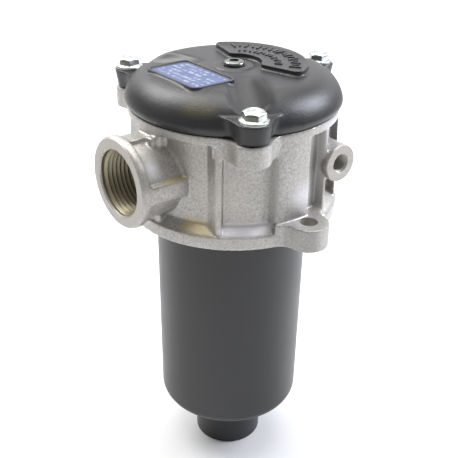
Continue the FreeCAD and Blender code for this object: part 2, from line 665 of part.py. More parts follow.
def draw_rounded_plate(sketch, centre_x, width, length, radius):
    """A rectangle with round corners, centred on X at -centre_x."""
    left, right = "-%s - (%s) / 2" % (centre_x, width), "-%s + (%s) / 2" % (centre_x, width)
    half = "(%s) / 2" % length
    closed_outline(sketch, [
        ("%s + %s" % (left, radius), "-" + half),
        ("%s - %s" % (right, radius), "-" + half),
        (right, "-%s + %s" % (half, radius)),
        (right, "%s - %s" % (half, radius)),
        ("%s - %s" % (right, radius), half),
        ("%s + %s" % (left, radius), half),
        (left, "%s - %s" % (half, radius)),
        (left, "-%s + %s" % (half, radius)),
    ], {1: (radius, False), 3: (radius, False), 5: (radius, False), 7: (radius, False)})


LABEL_SEAT_WIDTH = "(dims.label_width + 2 * dims.slip)"
LABEL_SEAT_LENGTH = "(dims.label_length + 2 * dims.slip)"


def label_frame():
    """The pad under the label with its raised frame."""
    frame_width = "(%s + 2 * dims.label_frame)" % LABEL_SEAT_WIDTH
    frame_length = "(%s + 2 * dims.label_frame)" % LABEL_SEAT_LENGTH
    rise = "dims.cover_ceiling_drop + dims.label_frame_rise"
    outside, _ = padded("label_frame_outside", CEILING, rise, lambda sketch: draw_rounded_plate(
        sketch, "dims.label_centre_x", frame_width, frame_length,
        "(dims.label_corner + dims.label_frame)"))
    inside, _ = padded("label_frame_inside", COVER_TOP, JOINT, lambda sketch: draw_rounded_plate(
        sketch, "dims.label_centre_x", LABEL_SEAT_WIDTH, LABEL_SEAT_LENGTH, "dims.label_corner"))
    return cut("label_frame_ring", outside, [inside])


def label_plate():
    """The bare label in its frame."""
    body, _ = padded("label_plate", COVER_TOP, "dims.label_thick", lambda sketch: draw_rounded_plate(
        sketch, "dims.label_centre_x", "dims.label_width", "dims.label_length",
        "(dims.label_corner - dims.slip)"))
    return body


def arc_block(name, low, height, inset, corner):
    """A block of the arc plate's outline with round corners."""
    body, pad = padded(name, low, height, lambda sketch: draw_arc_plate(sketch, inset))
    doc.recompute()
    corners = [
        "Edge%d" % number for number, edge in enumerate(pad.Shape.Edges, start=1)
        if isinstance(edge.Curve, Part.Line) and abs(edge.tangentAt(edge.FirstParameter).z) > 0.9
    ]
    rounded = body.newObject("PartDesign::Fillet", name + "_corners")
    rounded.Base = (pad, corners)
    rounded.setExpression("Radius", corner)
    body.Tip = rounded
    return body


def arc_plate():
    """The raised arc plate: a rim round a sunk field."""
    block = arc_block("arc_plate_block", CEILING, "dims.cover_ceiling_drop + dims.arc_rise", "0",
                      "dims.arc_round")
    field = arc_block("arc_plate_field", COVER_TOP + " + dims.arc_rise - dims.arc_recess",
                      "dims.arc_rise", "dims.arc_rim", "dims.arc_round - dims.arc_rim")
    return cut("arc_plate_ring", block, [field])


def valleys():
    """The scooped valleys that run down from the flat top to the bolt seats."""
    fall = "(dims.cover_rise - dims.cover_lobe_rise)"
    run = "(dims.boss_reach - dims.valley_gap - dims.valley_start)"
    slope = "atan2(%s; %s)" % (fall, run)
    tools = []
    count = int(value("dims.bolt_count"))
    for index in range(count):
        angle = 360.0 / count * index
        scoop = doc.addObject("Part::Cylinder", "valley_%d" % (index + 1))
        scoop.setExpression("Radius", "dims.valley_radius")
        scoop.setExpression("Height", "%s / cos(%s)" % (run, slope))
        offset = "dims.valley_start + dims.valley_radius * sin(%s)" % slope
        tilt_axis = Vector(-math.sin(math.radians(angle)), math.cos(math.radians(angle)), 0)
        scoop.Placement = Placement(Vector(0, 0, 0), Rotation(tilt_axis, 90))
        scoop.setExpression("Placement.Rotation.Angle", "90 deg + %s" % slope)
        scoop.setExpression("Placement.Base.x", "(%s) * cos(%g)" % (offset, angle))
        scoop.setExpression("Placement.Base.y", "(%s) * sin(%g)" % (offset, angle))
        scoop.setExpression("Placement.Base.z", "%s + dims.valley_radius * cos(%s)" % (COVER_TOP, slope))
        tools.append(scoop)
        tools.append(cylinder("seat_face_%d" % (index + 1),
                              "dims.bolt_flange_radius + dims.seat_margin", "dims.cover_rise",
                              "dims.boss_reach * cos(%g)" % angle, "dims.boss_reach * sin(%g)" % angle,
                              BOLT_SEAT))
    return tools


def cover():
    """The moulded cover: soft-edged dome, bolt lobes, valleys, arc plate and label frame."""
    side_z = "(dims.head_height + dims.cover_side_rise)"
    run = "(dims.cover_side_radius - dims.cover_flat_radius)"
    drop = "(dims.cover_rise - dims.cover_side_rise)"
    shoulder = "((%s ^ 2 + %s ^ 2) / (2 * %s))" % (run, drop, drop)
    dome = revolved("dome", [
        ("0", JOINT),
        ("dims.cover_foot_radius", JOINT),
        ("dims.cover_side_radius", side_z),
        ("dims.cover_flat_radius", COVER_TOP),
        ("0", COVER_TOP),
    ], {1: ("dims.cover_side_rise * 1.6", False), 2: (shoulder, False)})
    base = "dims.cover_foot_radius - dims.lobe_bite"
    ears = widening_lobes("cover_lobes", "dims.bolt_count", JOINT, BOLT_SEAT,
                          (LOBE_CENTRE, "dims.cover_lobe_foot", base, "dims.cover_foot_blend"),
                          (LOBE_CENTRE, "dims.cover_lobe_tip", base, "dims.cover_tip_blend"))
    scooped = cut_in_turn("scooped_dome", fuse("dome_with_lobes", [dome, ears]), valleys())
    outside = fuse("cover_outside", [
        scooped, arc_plate(), label_frame(), cylinder("hub", "dims.hub_radius", HUB_TOP + " - " + CEILING,
                                                       z=CEILING),
        spigot(),
    ])
    ring_floor = "(%s - dims.ring_thick)" % HUB_TOP
    tools = [
        revolved("cover_hollow", [
            ("0", JOINT + " - dims.spigot_depth - 1"),
            (HOLLOW, JOINT + " - dims.spigot_depth - 1"),
            (HOLLOW, JOINT + " + dims.cover_hollow_rise"),
            ("dims.cup_radius + dims.slip", CEILING),
            ("0", CEILING),
        ]),
        cylinder("centre_hole", "dims.bolt_radius + dims.hole_slip", JOINT, z=JOINT),
        cylinder("ring_recess", "dims.ring_recess_radius", JOINT, z=ring_floor),
    ]
    for index, (x, y) in enumerate(around("bolt_count", "dims.boss_reach"), start=1):
        tools.append(cylinder("cover_hole_%d" % index, "dims.bolt_radius + dims.hole_slip",
                              "2 * dims.cover_lobe_rise", x, y, JOINT + " - dims.cover_lobe_rise / 2"))
    return cut("cover", outside, tools)


SEAL_LINE = "(dims.head_height - dims.spigot_depth / 2)"
SPIGOT_RADIUS = "(dims.chamber_radius - dims.slip)"


def spigot():
    """The ring of the cover that enters the head, with its seal groove."""
    floor = "(dims.chamber_radius - 2 * dims.seal_radius + dims.thread_slip)"
    low = "(%s - dims.seal_radius - dims.thread_slip)" % SEAL_LINE
    high = "(%s + dims.seal_radius + dims.thread_slip)" % SEAL_LINE
    bottom = "(dims.head_height - dims.spigot_depth)"
    top = "(dims.head_height + dims.cover_hollow_rise)"
    return revolved("spigot", [
        (HOLLOW + " - dims.edge_chamfer", bottom),
        (SPIGOT_RADIUS, bottom),
        (SPIGOT_RADIUS, low),
        (floor, low),
        (floor, high),
        (SPIGOT_RADIUS, high),
        (SPIGOT_RADIUS, top),
        (HOLLOW + " - dims.edge_chamfer", top),
    ])


def cover_seal():
    """The O-ring in the cover's spigot."""
    return torus("cover_seal", "dims.chamber_radius - dims.seal_radius",
                 "dims.seal_radius - dims.thread_slip", SEAL_LINE)


def cover_bolt(number, x, y):
    """A flanged hexagon bolt, one of the cover's."""
    name = "cover_bolt_%d" % number
    seat = BOLT_SEAT
    hexagon = doc.addObject("Part::Prism", name + "_hex")
    hexagon.Polygon = 6
    hexagon.setExpression("Circumradius", "dims.bolt_hex_flats / sqrt(3)")
    hexagon.setExpression("Height", "dims.bolt_head_height")
    place(hexagon, x, y, seat)
    top_round = cone(name + "_crown", "dims.bolt_hex_flats / sqrt(3) + dims.bolt_flange_thick",
                     "dims.bolt_hex_flats / 2 - dims.bolt_flange_thick / 4", "dims.bolt_head_height",
                     x, y, seat)
    return fuse(name, [
        common(name + "_head", [hexagon, top_round]),
        cylinder(name + "_flange", "dims.bolt_flange_radius", "dims.bolt_flange_thick / 2", x, y, seat),
        cone(name + "_skirt", "dims.bolt_flange_radius", "dims.bolt_hex_flats / 2",
             "dims.bolt_flange_thick", x, y, seat + " + dims.bolt_flange_thick / 2"),
        cylinder(name + "_shank", "dims.bolt_radius", "dims.bolt_length + dims.bolt_flange_thick",
                 x, y, seat + " - dims.bolt_length"),
    ])


def centre_screw():
    """The button-headed screw that holds the spring cup."""
    low_radius = "dims.screw_head_radius"
    crown = "(dims.screw_head_radius * 0.55)"
    head = revolved("screw_head", [
        ("0", HUB_TOP),
        (low_radius, HUB_TOP),
        (low_radius, HUB_TOP + " + dims.screw_head_height * 0.25"),
        (crown, HUB_TOP + " + dims.screw_head_height"),
        ("0", HUB_TOP + " + dims.screw_head_height"),
    ], {2: ("dims.screw_head_radius", False)})
    shank = cylinder("screw_shank", "dims.bolt_radius", "dims.screw_length + dims.screw_head_height / 4",
                     z=HUB_TOP + " - dims.screw_length")
    socket = doc.addObject("Part::Prism", "screw_socket")
    socket.Polygon = 6
    socket.setExpression("Circumradius", "dims.socket_flats / sqrt(3)")
    socket.setExpression("Height", "dims.screw_head_height")
    place(socket, z=HUB_TOP + " + dims.screw_head_height - dims.socket_depth")
    return cut("centre_screw", fuse("screw_solid", [head, shank]), [socket])


def centre_ring():
    """The sealing ring under the centre screw's head."""
    low = "(%s - dims.ring_thick)" % HUB_TOP
    return revolved("centre_ring", [
        ("dims.bolt_radius + dims.thread_slip", low),
        ("dims.ring_radius", low),
        ("dims.ring_radius", HUB_TOP),
        ("dims.bolt_radius + dims.thread_slip", HUB_TOP),
    ])


def spring_cup():
    """The pressed cup under the cover that centres the hold-down spring."""
    under = "(%s - dims.cup_thick)" % CEILING
    skirt = "(%s - dims.cup_skirt)" % under
    boss = "(%s - dims.cup_boss_length)" % under
    bore = "(dims.bolt_radius + dims.thread_slip)"
    return revolved("spring_cup", [
        (bore, CEILING),
        (bore, boss),
        ("dims.cup_boss_radius", boss),
        ("dims.cup_boss_radius", under),
        ("dims.cup_radius - dims.cup_thick", under),
        ("dims.cup_radius - dims.cup_thick", skirt),
        ("dims.cup_radius", skirt),
        ("dims.cup_radius", CEILING),
    ])


def coil_spring(name, middle, wire, coils, low, high):
    """A spring with ground ends between two heights."""
    body = doc.addObject("PartDesign::Body", name + "_wire")
    sketch = new_sketch(body, name + "_section", "XZ_Plane")
    sketch.addGeometry(Part.Circle(Vector(value(middle), value(low), 0), Vector(0, 0, 1), value(wire)))
    constrain(sketch, middle, "DistanceX", -1, 1, 0, 3)
    constrain(sketch, low, "DistanceY", -1, 1, 0, 3)
    constrain(sketch, wire, "Radius", 0)
    coil = body.newObject("PartDesign::AdditiveHelix", name + "_coil")
    coil.Profile = sketch
    coil.ReferenceAxis = (sketch, ["V_Axis"])
    coil.Mode = "height-turns-angle"
    coil.setExpression("Height", "(%s) - (%s)" % (high, low))
    coil.setExpression("Turns", coils)
    ground = cylinder(name + "_ground", "(%s) + 2 * %s" % (middle, wire), "(%s) - (%s)" % (high, low), z=low)
    return common(name, [body, ground])


def hold_down_spring():
    """The spring that holds the element down on the outlet collar."""
    return coil_spring("hold_down_spring", "dims.load_spring_radius", "dims.load_wire", "dims.load_coils",
                       CAP_TOP, "(%s - dims.cup_thick)" % CEILING)


def bypass_spring():
    """The spring that keeps the bypass poppet shut."""
    return coil_spring("bypass_spring", "dims.valve_spring_radius", "dims.valve_wire", "dims.valve_coils",
                       "(%s + dims.cage_wall)" % CAGE_FLOOR, "(%s - dims.poppet_thick)" % MEDIA_HIGH)


def element_top_cap():
    """The top cap: skirt, bypass opening, ears for the handle and its rest."""
    inner = "(%s - dims.cap_wall)" % CAP_RADIUS
    skirt = "(%s - dims.cap_skirt)" % MEDIA_HIGH
    plate = revolved("top_cap_plate", [
        ("dims.valve_hole", MEDIA_HIGH),
        (inner, MEDIA_HIGH),
        (inner, skirt),
        (CAP_RADIUS, skirt),
        (CAP_RADIUS, CAP_TOP),
        ("dims.valve_hole", CAP_TOP),
    ])
    near = "(dims.bail_radius + dims.ear_gap)"
    ears = []
    for side, low, high in (("front", "-%s - dims.ear_thick" % near, "-" + near),
                            ("back", near, near + " + dims.ear_thick")):
        ears.append(box("ear_" + side, ("-dims.ear_width / 2", "dims.ear_width / 2"), (low, high),
                        (CAP_TOP, CAP_TOP + " + dims.bail_rise + dims.ear_width / 2")))
    rest = box("bail_rest", ("dims.bail_radius - dims.bail_wire", "dims.bail_radius + dims.bail_wire"),
               ("-dims.ear_width / 2", "dims.ear_width / 2"),
               (CAP_TOP, CAP_TOP + " + dims.bail_rise - dims.bail_wire - dims.pivot_slip"))
    pivot = cylinder("pivot_hole", "dims.bail_wire + dims.pivot_slip", "4 * dims.bail_radius",
                     "0", "-2 * dims.bail_radius", CAP_TOP + " + dims.bail_rise", ALONG_Y)
    return cut("element_top_cap", fuse("top_cap_solid", [plate, rest] + ears), [pivot])


def element_handle():
    """The wire handle, folded flat on the top cap."""
    height = CAP_TOP + " + dims.bail_rise"
    bow = doc.addObject("Part::Torus", "handle_bow")
    bow.setExpression("Radius1", "dims.bail_radius")
    bow.setExpression("Radius2", "dims.bail_wire")
    bow.Angle3 = 180
    place(bow, z=height, turn=Rotation(Vector(0, 0, 1), -90))
    pins = [
        cylinder("handle_pin_front", "dims.bail_wire", "dims.bail_pin", "0",
                 "-dims.bail_radius - dims.bail_pin", height, ALONG_Y),
        cylinder("handle_pin_back", "dims.bail_wire", "dims.bail_pin", "0", "dims.bail_radius", height,
                 ALONG_Y),
    ]
    elbows = []
    for side, y in (("front", "-dims.bail_radius"), ("back", "dims.bail_radius")):
        elbow = doc.addObject("Part::Sphere", "handle_elbow_" + side)
        elbow.setExpression("Radius", "dims.bail_wire")
        elbows.append(place(elbow, "0", y, height))
    return fuse("element_handle", [bow] + pins + elbows)


def element_bottom_cap():
    """The bottom cap with the neck that plugs into the outlet."""
    inner = "(%s - dims.cap_wall)" % CAP_RADIUS
    skirt = "(%s + dims.cap_skirt)" % MEDIA_LOW
    neck = "(dims.outlet_bore - dims.neck_slip)"
    bore = "(dims.outlet_bore - dims.neck_slip - dims.neck_wall)"
    end = "(%s - dims.neck_length)" % COLLAR_TOP
    floor = "(dims.outlet_bore - 2 * dims.element_seal_radius + dims.thread_slip)"
    line = "(%s - dims.neck_length / 2)" % COLLAR_TOP
    half = "(dims.element_seal_radius + dims.thread_slip)"
    return revolved("element_bottom_cap", [
        (bore, end),
        (neck, end),
        (neck, "%s - %s" % (line, half)),
        (floor, "%s - %s" % (line, half)),
        (floor, "%s + %s" % (line, half)),
        (neck, "%s + %s" % (line, half)),
        (neck, COLLAR_TOP),
        (CAP_RADIUS, COLLAR_TOP),
        (CAP_RADIUS, skirt),
        (inner, skirt),
        (inner, MEDIA_LOW),
        (bore, MEDIA_LOW),
    ])


def element_seal():
    """The O-ring between the element's neck and the outlet."""
    return torus("element_seal", "dims.outlet_bore - dims.element_seal_radius",
                 "dims.element_seal_radius - dims.thread_slip",
                 "%s - dims.neck_length / 2" % COLLAR_TOP)


def draw_pleat(sketch):
    """One fold of the pleated pack, from crest to crest."""
    outer = "(%s - dims.cap_wall - dims.cap_gap)" % CAP_RADIUS
    depth = "(%s - dims.core_bore - dims.core_wall - dims.pleat_gap)" % outer
    fold = "(180 / dims.pleat_count)"
    flank = "atan2(%s * sin(%s); %s)" % (outer, fold, depth)
    inset = "(dims.pleat_thick / sin(%s))" % flank
    corners = []
    for reach, turns in (("", 0), (" - " + depth, 1), ("", 2)):
        radius = outer + reach
        corners.append(("(%s) * cos(%d * %s)" % (radius, turns, fold),
                        "(%s) * sin(%d * %s)" % (radius, turns, fold)))
    for reach, turns in (("", 2), (" - " + depth, 1), ("", 0)):
        radius = "%s%s - %s" % (outer, reach, inset)
        corners.append(("(%s) * cos(%d * %s)" % (radius, turns, fold),
                        "(%s) * sin(%d * %s)" % (radius, turns, fold)))
    closed_outline(sketch, corners)


def pleated_media():
    """The pleated pack between the caps: one fold repeated round the core."""
    body, pad = padded("pleated_media", MEDIA_LOW, "dims.media_height", draw_pleat)
    ring_of(body, pad, "dims.pleat_count")
    return body


def core_tube():
    """The perforated tube inside the pleats."""
    outer = "(dims.core_bore + dims.core_wall)"
    tube = cut("core_wall_tube", cylinder("core_outside", outer, "dims.media_height", z=MEDIA_LOW), [
        cylinder("core_inside", "dims.core_bore", "2 * dims.media_height",
                 z=MEDIA_LOW + " - dims.media_height / 2"),
    ])
    rows = int(value("dims.core_rows"))
    windows = []
    for row in range(rows):
        low = "%s + dims.media_height * %g" % (MEDIA_LOW, (row + 0.75) / (rows + 0.5))
        for turn in range(3):
            windows.append(box("window_%d_%d" % (row + 1, turn + 1), ("-2 * " + outer, "2 * " + outer),
                               ("-dims.core_bore / 5", "dims.core_bore / 5"),
                               (low, "%s + dims.media_height / %g" % (low, 2 * rows)),
                               Rotation(Vector(0, 0, 1), 60 * turn)))
    return cut("core_tube", tube, windows)


def bypass_cage():
    """The cage under the top cap that guides the poppet and carries its spring."""
    inner = "(dims.cage_radius - dims.cage_wall)"
    hole = "(dims.stem_radius + dims.pivot_slip)"
    shell = revolved("cage_shell", [
        (hole, CAGE_FLOOR),
        ("dims.cage_radius", CAGE_FLOOR),
        ("dims.cage_radius", MEDIA_HIGH),
        (inner, MEDIA_HIGH),
        (inner, CAGE_FLOOR + " + dims.cage_wall"),
        (hole, CAGE_FLOOR + " + dims.cage_wall"),
    ])
    windows = []
    for turn in range(3):
        windows.append(box("cage_window_%d" % (turn + 1), ("-2 * dims.cage_radius", "2 * dims.cage_radius"),
                           ("-dims.cage_window / 2", "dims.cage_window / 2"),
                           (CAGE_FLOOR + " + 2 * dims.cage_wall", MEDIA_HIGH + " - 2 * dims.cage_wall"),
                           Rotation(Vector(0, 0, 1), 60 * turn)))
    return cut("bypass_cage", shell, windows)


def bypass_poppet():
    """The poppet: a disc under the bypass opening on a guided stem."""
    under = "(%s - dims.poppet_thick)" % MEDIA_HIGH
    tip = "(%s - dims.stem_length)" % under
    return revolved("bypass_poppet", [
        ("0", tip),
        ("dims.stem_radius", tip),
        ("dims.stem_radius", under),
        ("dims.poppet_radius", under),
        ("dims.poppet_radius", MEDIA_HIGH),
        ("0", MEDIA_HIGH),
    ])


def build():
    """Make every piece and return them by node name."""
    pieces = [
        filter_head(), cover(), cover_seal(), centre_screw(), centre_ring(), spring_cup(), label_plate(),
        bowl(), bowl_seal(), element_top_cap(), element_bottom_cap(), pleated_media(), core_tube(),
        element_seal(), element_handle(), hold_down_spring(), bypass_cage(), bypass_poppet(),
        bypass_spring(),
    ]
    for number, (x, y) in enumerate(around("bolt_count", "dims.boss_reach"), start=1):
        pieces.append(cover_bolt(number, x, y))
    for piece in pieces:
        piece.Label = piece.Name
    doc.recompute()
    return {piece.Label: piece for piece in pieces}


def check(nodes):
    """Stop before anything is written if an object failed or a shape is not sound."""
    for item in doc.Objects:
        if "Invalid" in item.State or "Error" in item.State:
            raise RuntimeError("%s failed: %s" % (item.Name, item.State))
    for name, piece in nodes.items():
        shape = piece.Shape
        if shape.isNull() or not shape.isValid() or not shape.Solids:
            raise RuntimeError("%s has no sound solid" % name)


def write(nodes):
    """Write one STEP file for each node."""
    os.makedirs(NODE_FOLDER, exist_ok=True)
    for name, piece in nodes.items():
        piece.Shape.exportStep(os.path.join(NODE_FOLDER, name + ".step"))
        box_ = piece.Shape.BoundBox
        print("%-20s solids %d volume %10.1f z %8.2f %8.2f" % (
            name, len(piece.Shape.Solids), piece.Shape.Volume, box_.ZMin, box_.ZMax))


nodes = build()
check(nodes)
write(nodes)
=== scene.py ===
"""Dresses the return line filter: cast head, nylon cover, bowl, bolts, threads, label and studio.

Every length in the dataclasses is in metres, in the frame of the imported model: the origin is
the centre of the mounting face, +Z is up, and the inlet port looks along -X.
"""

from __future__ import annotations

import logging
import math
from dataclasses import dataclass
from enum import Enum, IntEnum
from typing import Callable, Sequence, Union

import bmesh
import bpy
from mathutils import Matrix, Vector

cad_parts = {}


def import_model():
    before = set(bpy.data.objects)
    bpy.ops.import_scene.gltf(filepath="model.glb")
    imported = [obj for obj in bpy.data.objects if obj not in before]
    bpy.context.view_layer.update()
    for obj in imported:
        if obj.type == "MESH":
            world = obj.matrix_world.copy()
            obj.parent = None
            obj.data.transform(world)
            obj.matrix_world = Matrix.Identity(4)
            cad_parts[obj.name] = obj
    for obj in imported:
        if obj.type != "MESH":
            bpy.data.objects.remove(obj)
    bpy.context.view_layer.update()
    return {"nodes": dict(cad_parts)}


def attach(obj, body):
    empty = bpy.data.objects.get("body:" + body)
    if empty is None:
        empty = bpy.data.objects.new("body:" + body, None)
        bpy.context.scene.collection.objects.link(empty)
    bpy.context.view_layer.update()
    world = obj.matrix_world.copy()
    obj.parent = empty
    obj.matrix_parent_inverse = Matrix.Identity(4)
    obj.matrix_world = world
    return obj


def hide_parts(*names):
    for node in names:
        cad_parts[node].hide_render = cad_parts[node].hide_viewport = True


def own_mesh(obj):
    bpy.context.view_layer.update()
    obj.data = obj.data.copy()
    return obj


LOG = logging.getLogger("return_line_filter")

Number = Union[int, float]
Profile = Sequence[tuple[float, float]]
Color = tuple[float, float, float, float]
Point = tuple[float, float, float]

HOUSING = "housing"
PORT_HEIGHT = 0.0294
BOLT_ANGLES = (0.0, 120.0, 240.0)
BOLT_SEAT = 0.0671
LABEL_CENTRE = -0.027
SAME_PLACE = 1e-7
SAME_CORNER = 2e-6


class Axis(Enum):
    """Directions that turned pieces are spun about."""

    X = (1.0, 0.0, 0.0)
    Y = (0.0, 1.0, 0.0)
    Z = (0.0, 0.0, 1.0)


class Finish(IntEnum):
    """The finishes of the head's faces, in the order of its materials."""

    CAST = 0
    MACHINED = 1
    # BORED faces take a darker, warmer copy of the machined finish: painted shade and a painted warm
    # reflection in the bore.
    BORED = 2


class Socket:
    """A node's output that adds Math nodes when it is used in an expression."""

    def __init__(self, graph: "Graph", output: bpy.types.NodeSocket) -> None:
        """Keeps the graph and the output that this stands for."""
        self.graph = graph
        self.output = output

    def _math(self, operation: str, first: "Feed", second: "Feed" = 0.0, clamp: bool = False) -> "Socket":
        """Adds one Math node.

        Args:
            operation: the Math node's operation.
            first: the first value or socket.
            second: the second value or socket.
            clamp: whether the result stays between 0 and 1.

        Returns:
            The node's result.
        """
        settings = {"operation": operation, "use_clamp": clamp}
        return self.graph.node("ShaderNodeMath", settings, {0: first, 1: second})

    def __add__(self, other: "Feed") -> "Socket":
        """This plus another."""
        return self._math("ADD", self, other)

    def __radd__(self, other: "Feed") -> "Socket":
        """Another plus this."""
        return self._math("ADD", other, self)

    def __sub__(self, other: "Feed") -> "Socket":
        """This less another."""
        return self._math("SUBTRACT", self, other)

    def __rsub__(self, other: "Feed") -> "Socket":
        """Another less this."""
        return self._math("SUBTRACT", other, self)

    def __mul__(self, other: "Feed") -> "Socket":
        """This times another."""
        return self._math("MULTIPLY", self, other)

    def __rmul__(self, other: "Feed") -> "Socket":
        """Another times this."""
        return self._math("MULTIPLY", other, self)

    def __truediv__(self, other: "Feed") -> "Socket":
        """This over another."""
        return self._math("DIVIDE", self, other)

    def __pow__(self, other: "Feed") -> "Socket":
        """This to the power of another."""
        return self._math("POWER", self, other)

    def __abs__(self) -> "Socket":
        """This without its sign."""
        return self._math("ABSOLUTE", self)

    def above(self, edge: Number, softness: Number) -> "Socket":
        """A mask that rises from 0 to 1 over a soft edge.

        Args:
            edge: the value in the middle of the edge.
            softness: the width of the edge.

        Returns:
            The mask.
        """
        return self._math("ADD", (self - edge) / softness, 0.5, clamp=True)

    def below(self, edge: Number, softness: Number) -> "Socket":
        """A mask that falls from 1 to 0 over a soft edge."""
        return 1.0 - self.above(edge, softness)

    def saw(self, length: Number) -> "Socket":
        """The remainder after whole lengths."""
        return self._math("FLOORED_MODULO", self, length)

    def sine(self) -> "Socket":
        """The sine of this."""
        return self._math("SINE", self)

    def at_least(self, low: Number) -> "Socket":
        """This, or a number where this is less."""
        return self._math("MAXIMUM", self, low)


Feed = Union[Socket, Number, Sequence[float]]


class Graph:
    """One material and the nodes that feed its surface."""

    def __init__(self, name: str) -> None:
        """Starts a material.

        Args:
            name: the material's name.
        """
        self.material = bpy.data.materials.new(name)
        self.material.use_nodes = True
        self.tree = self.material.node_tree
        self.surface = self.tree.nodes["Principled BSDF"]

    def node(self, kind: str, settings: dict | None = None, feeds: dict | None = None,
             output: str | int = 0) -> Socket:
        """Adds a node.

        Args:
            kind: the node's type.
            settings: the node's own settings, set first.
            feeds: socket name or number to a value or a socket.
            output: the output that is wanted.

        Returns:
            That output.
        """
        made = self.tree.nodes.new(kind)
        for name, value in (settings or {}).items():
            setattr(made, name, value)
        for name, value in (feeds or {}).items():
            self._plug(made.inputs[name], value)
        return Socket(self, made.outputs[output])

    def _plug(self, target: bpy.types.NodeSocket, value: Feed) -> None:
        """Links a socket or sets a plain value.

        Args:
            target: the input that is fed.
            value: the socket or the value.
        """
        if isinstance(value, Socket):
            self.tree.links.new(value.output, target)
        else:
            target.default_value = value

    def feed(self, name: str, value: Feed) -> None:
        """Feeds one input of the surface shader."""
        self._plug(self.surface.inputs[name], value)

    def place(self) -> Socket:
        """The point of the surface in the frame of the model."""
        return self.node("ShaderNodeTexCoord", output="Object")

    def parts(self, vector: Socket) -> tuple[Socket, Socket, Socket]:
        """The X, Y and Z of a vector.

        Args:
            vector: the vector.

        Returns:
            Its three parts.
        """
        first = self.node("ShaderNodeSeparateXYZ", feeds={0: vector})
        outputs = first.output.node.outputs
        return first, Socket(self, outputs[1]), Socket(self, outputs[2])

    def noise(self, scale: float, detail: float = 2.0, roughness: float = 0.5,
              stretch: Sequence[float] = (1.0, 1.0, 1.0)) -> Socket:
        """Smooth noise on the object's own coordinates.

        Args:
            scale: waves per metre.
            detail: octaves.
            roughness: how strong the finer octaves are.
            stretch: how much the coordinates are scaled along each axis.

        Returns:
            The noise from 0 to 1.
        """
        place = self.place()
        if tuple(stretch) != (1.0, 1.0, 1.0):
            place = self.node("ShaderNodeVectorMath", {"operation": "MULTIPLY"}, {0: place, 1: stretch})
        feeds = {"Vector": place, "Scale": scale, "Detail": detail, "Roughness": roughness}
        return self.node("ShaderNodeTexNoise", None, feeds)

    def patch(self, low: Sequence[float], high: Sequence[float], softness: float) -> Socket:
        """A soft-edged mask of a box in the frame of the model.

        Args:
            low: the box's low corner.
            high: its high corner.
            softness: the width of its edges.

        Returns:
            The mask.
        """
        mask = None
        for part, start, end in zip(self.parts(self.place()), low, high):
            share = part.above(start, softness) * part.below(end, softness)
            mask = share if mask is None else mask * share
        return mask

    def mix(self, factor: Feed, low: Feed, high: Feed) -> Socket:
        """A colour between two.

        Args:
            factor: 0 for the first colour and 1 for the second.
            low: the first colour.
            high: the second colour.

        Returns:
            The mixed colour.
        """
        mixer = self.tree.nodes.new("ShaderNodeMix")
        mixer.data_type = "RGBA"
        self._plug(mixer.inputs["Factor"], factor)
        self._plug([s for s in mixer.inputs if s.name == "A" and s.type == "RGBA"][0], low)
        self._plug([s for s in mixer.inputs if s.name == "B" and s.type == "RGBA"][0], high)
        return Socket(self, [s for s in mixer.outputs if s.type == "RGBA"][0])

    def bump(self, height: Socket, depth: float, strength: float = 1.0,
             under: Socket | None = None) -> Socket:
        """Bumps of a height.

        Args:
            height: the height from 0 to 1.
            depth: how deep 1 is, in metres.
            strength: how much of it counts.
            under: another bump's normal to start from.

        Returns:
            The normal.
        """
        feeds: dict = {"Height": height, "Distance": depth, "Strength": strength}
        if under is not None:
            feeds["Normal"] = under
        return self.node("ShaderNodeBump", None, feeds)


def rgb(red: float, green: float, blue: float) -> Color:
    """An opaque colour."""
    return (red, green, blue, 1.0)


@dataclass(frozen=True)
class PaintedLight:
    """A painted highlight, reflection or shade: a colour laid softly over what a box of the model holds."""

    low: Point
    high: Point
    softness: float
    share: float
    color: Color

    def over(self, graph: Graph, under: Feed) -> Socket:
        """The colour under it, tinted inside the box."""
        return graph.mix(graph.patch(self.low, self.high, self.softness) * self.share, under, self.color)


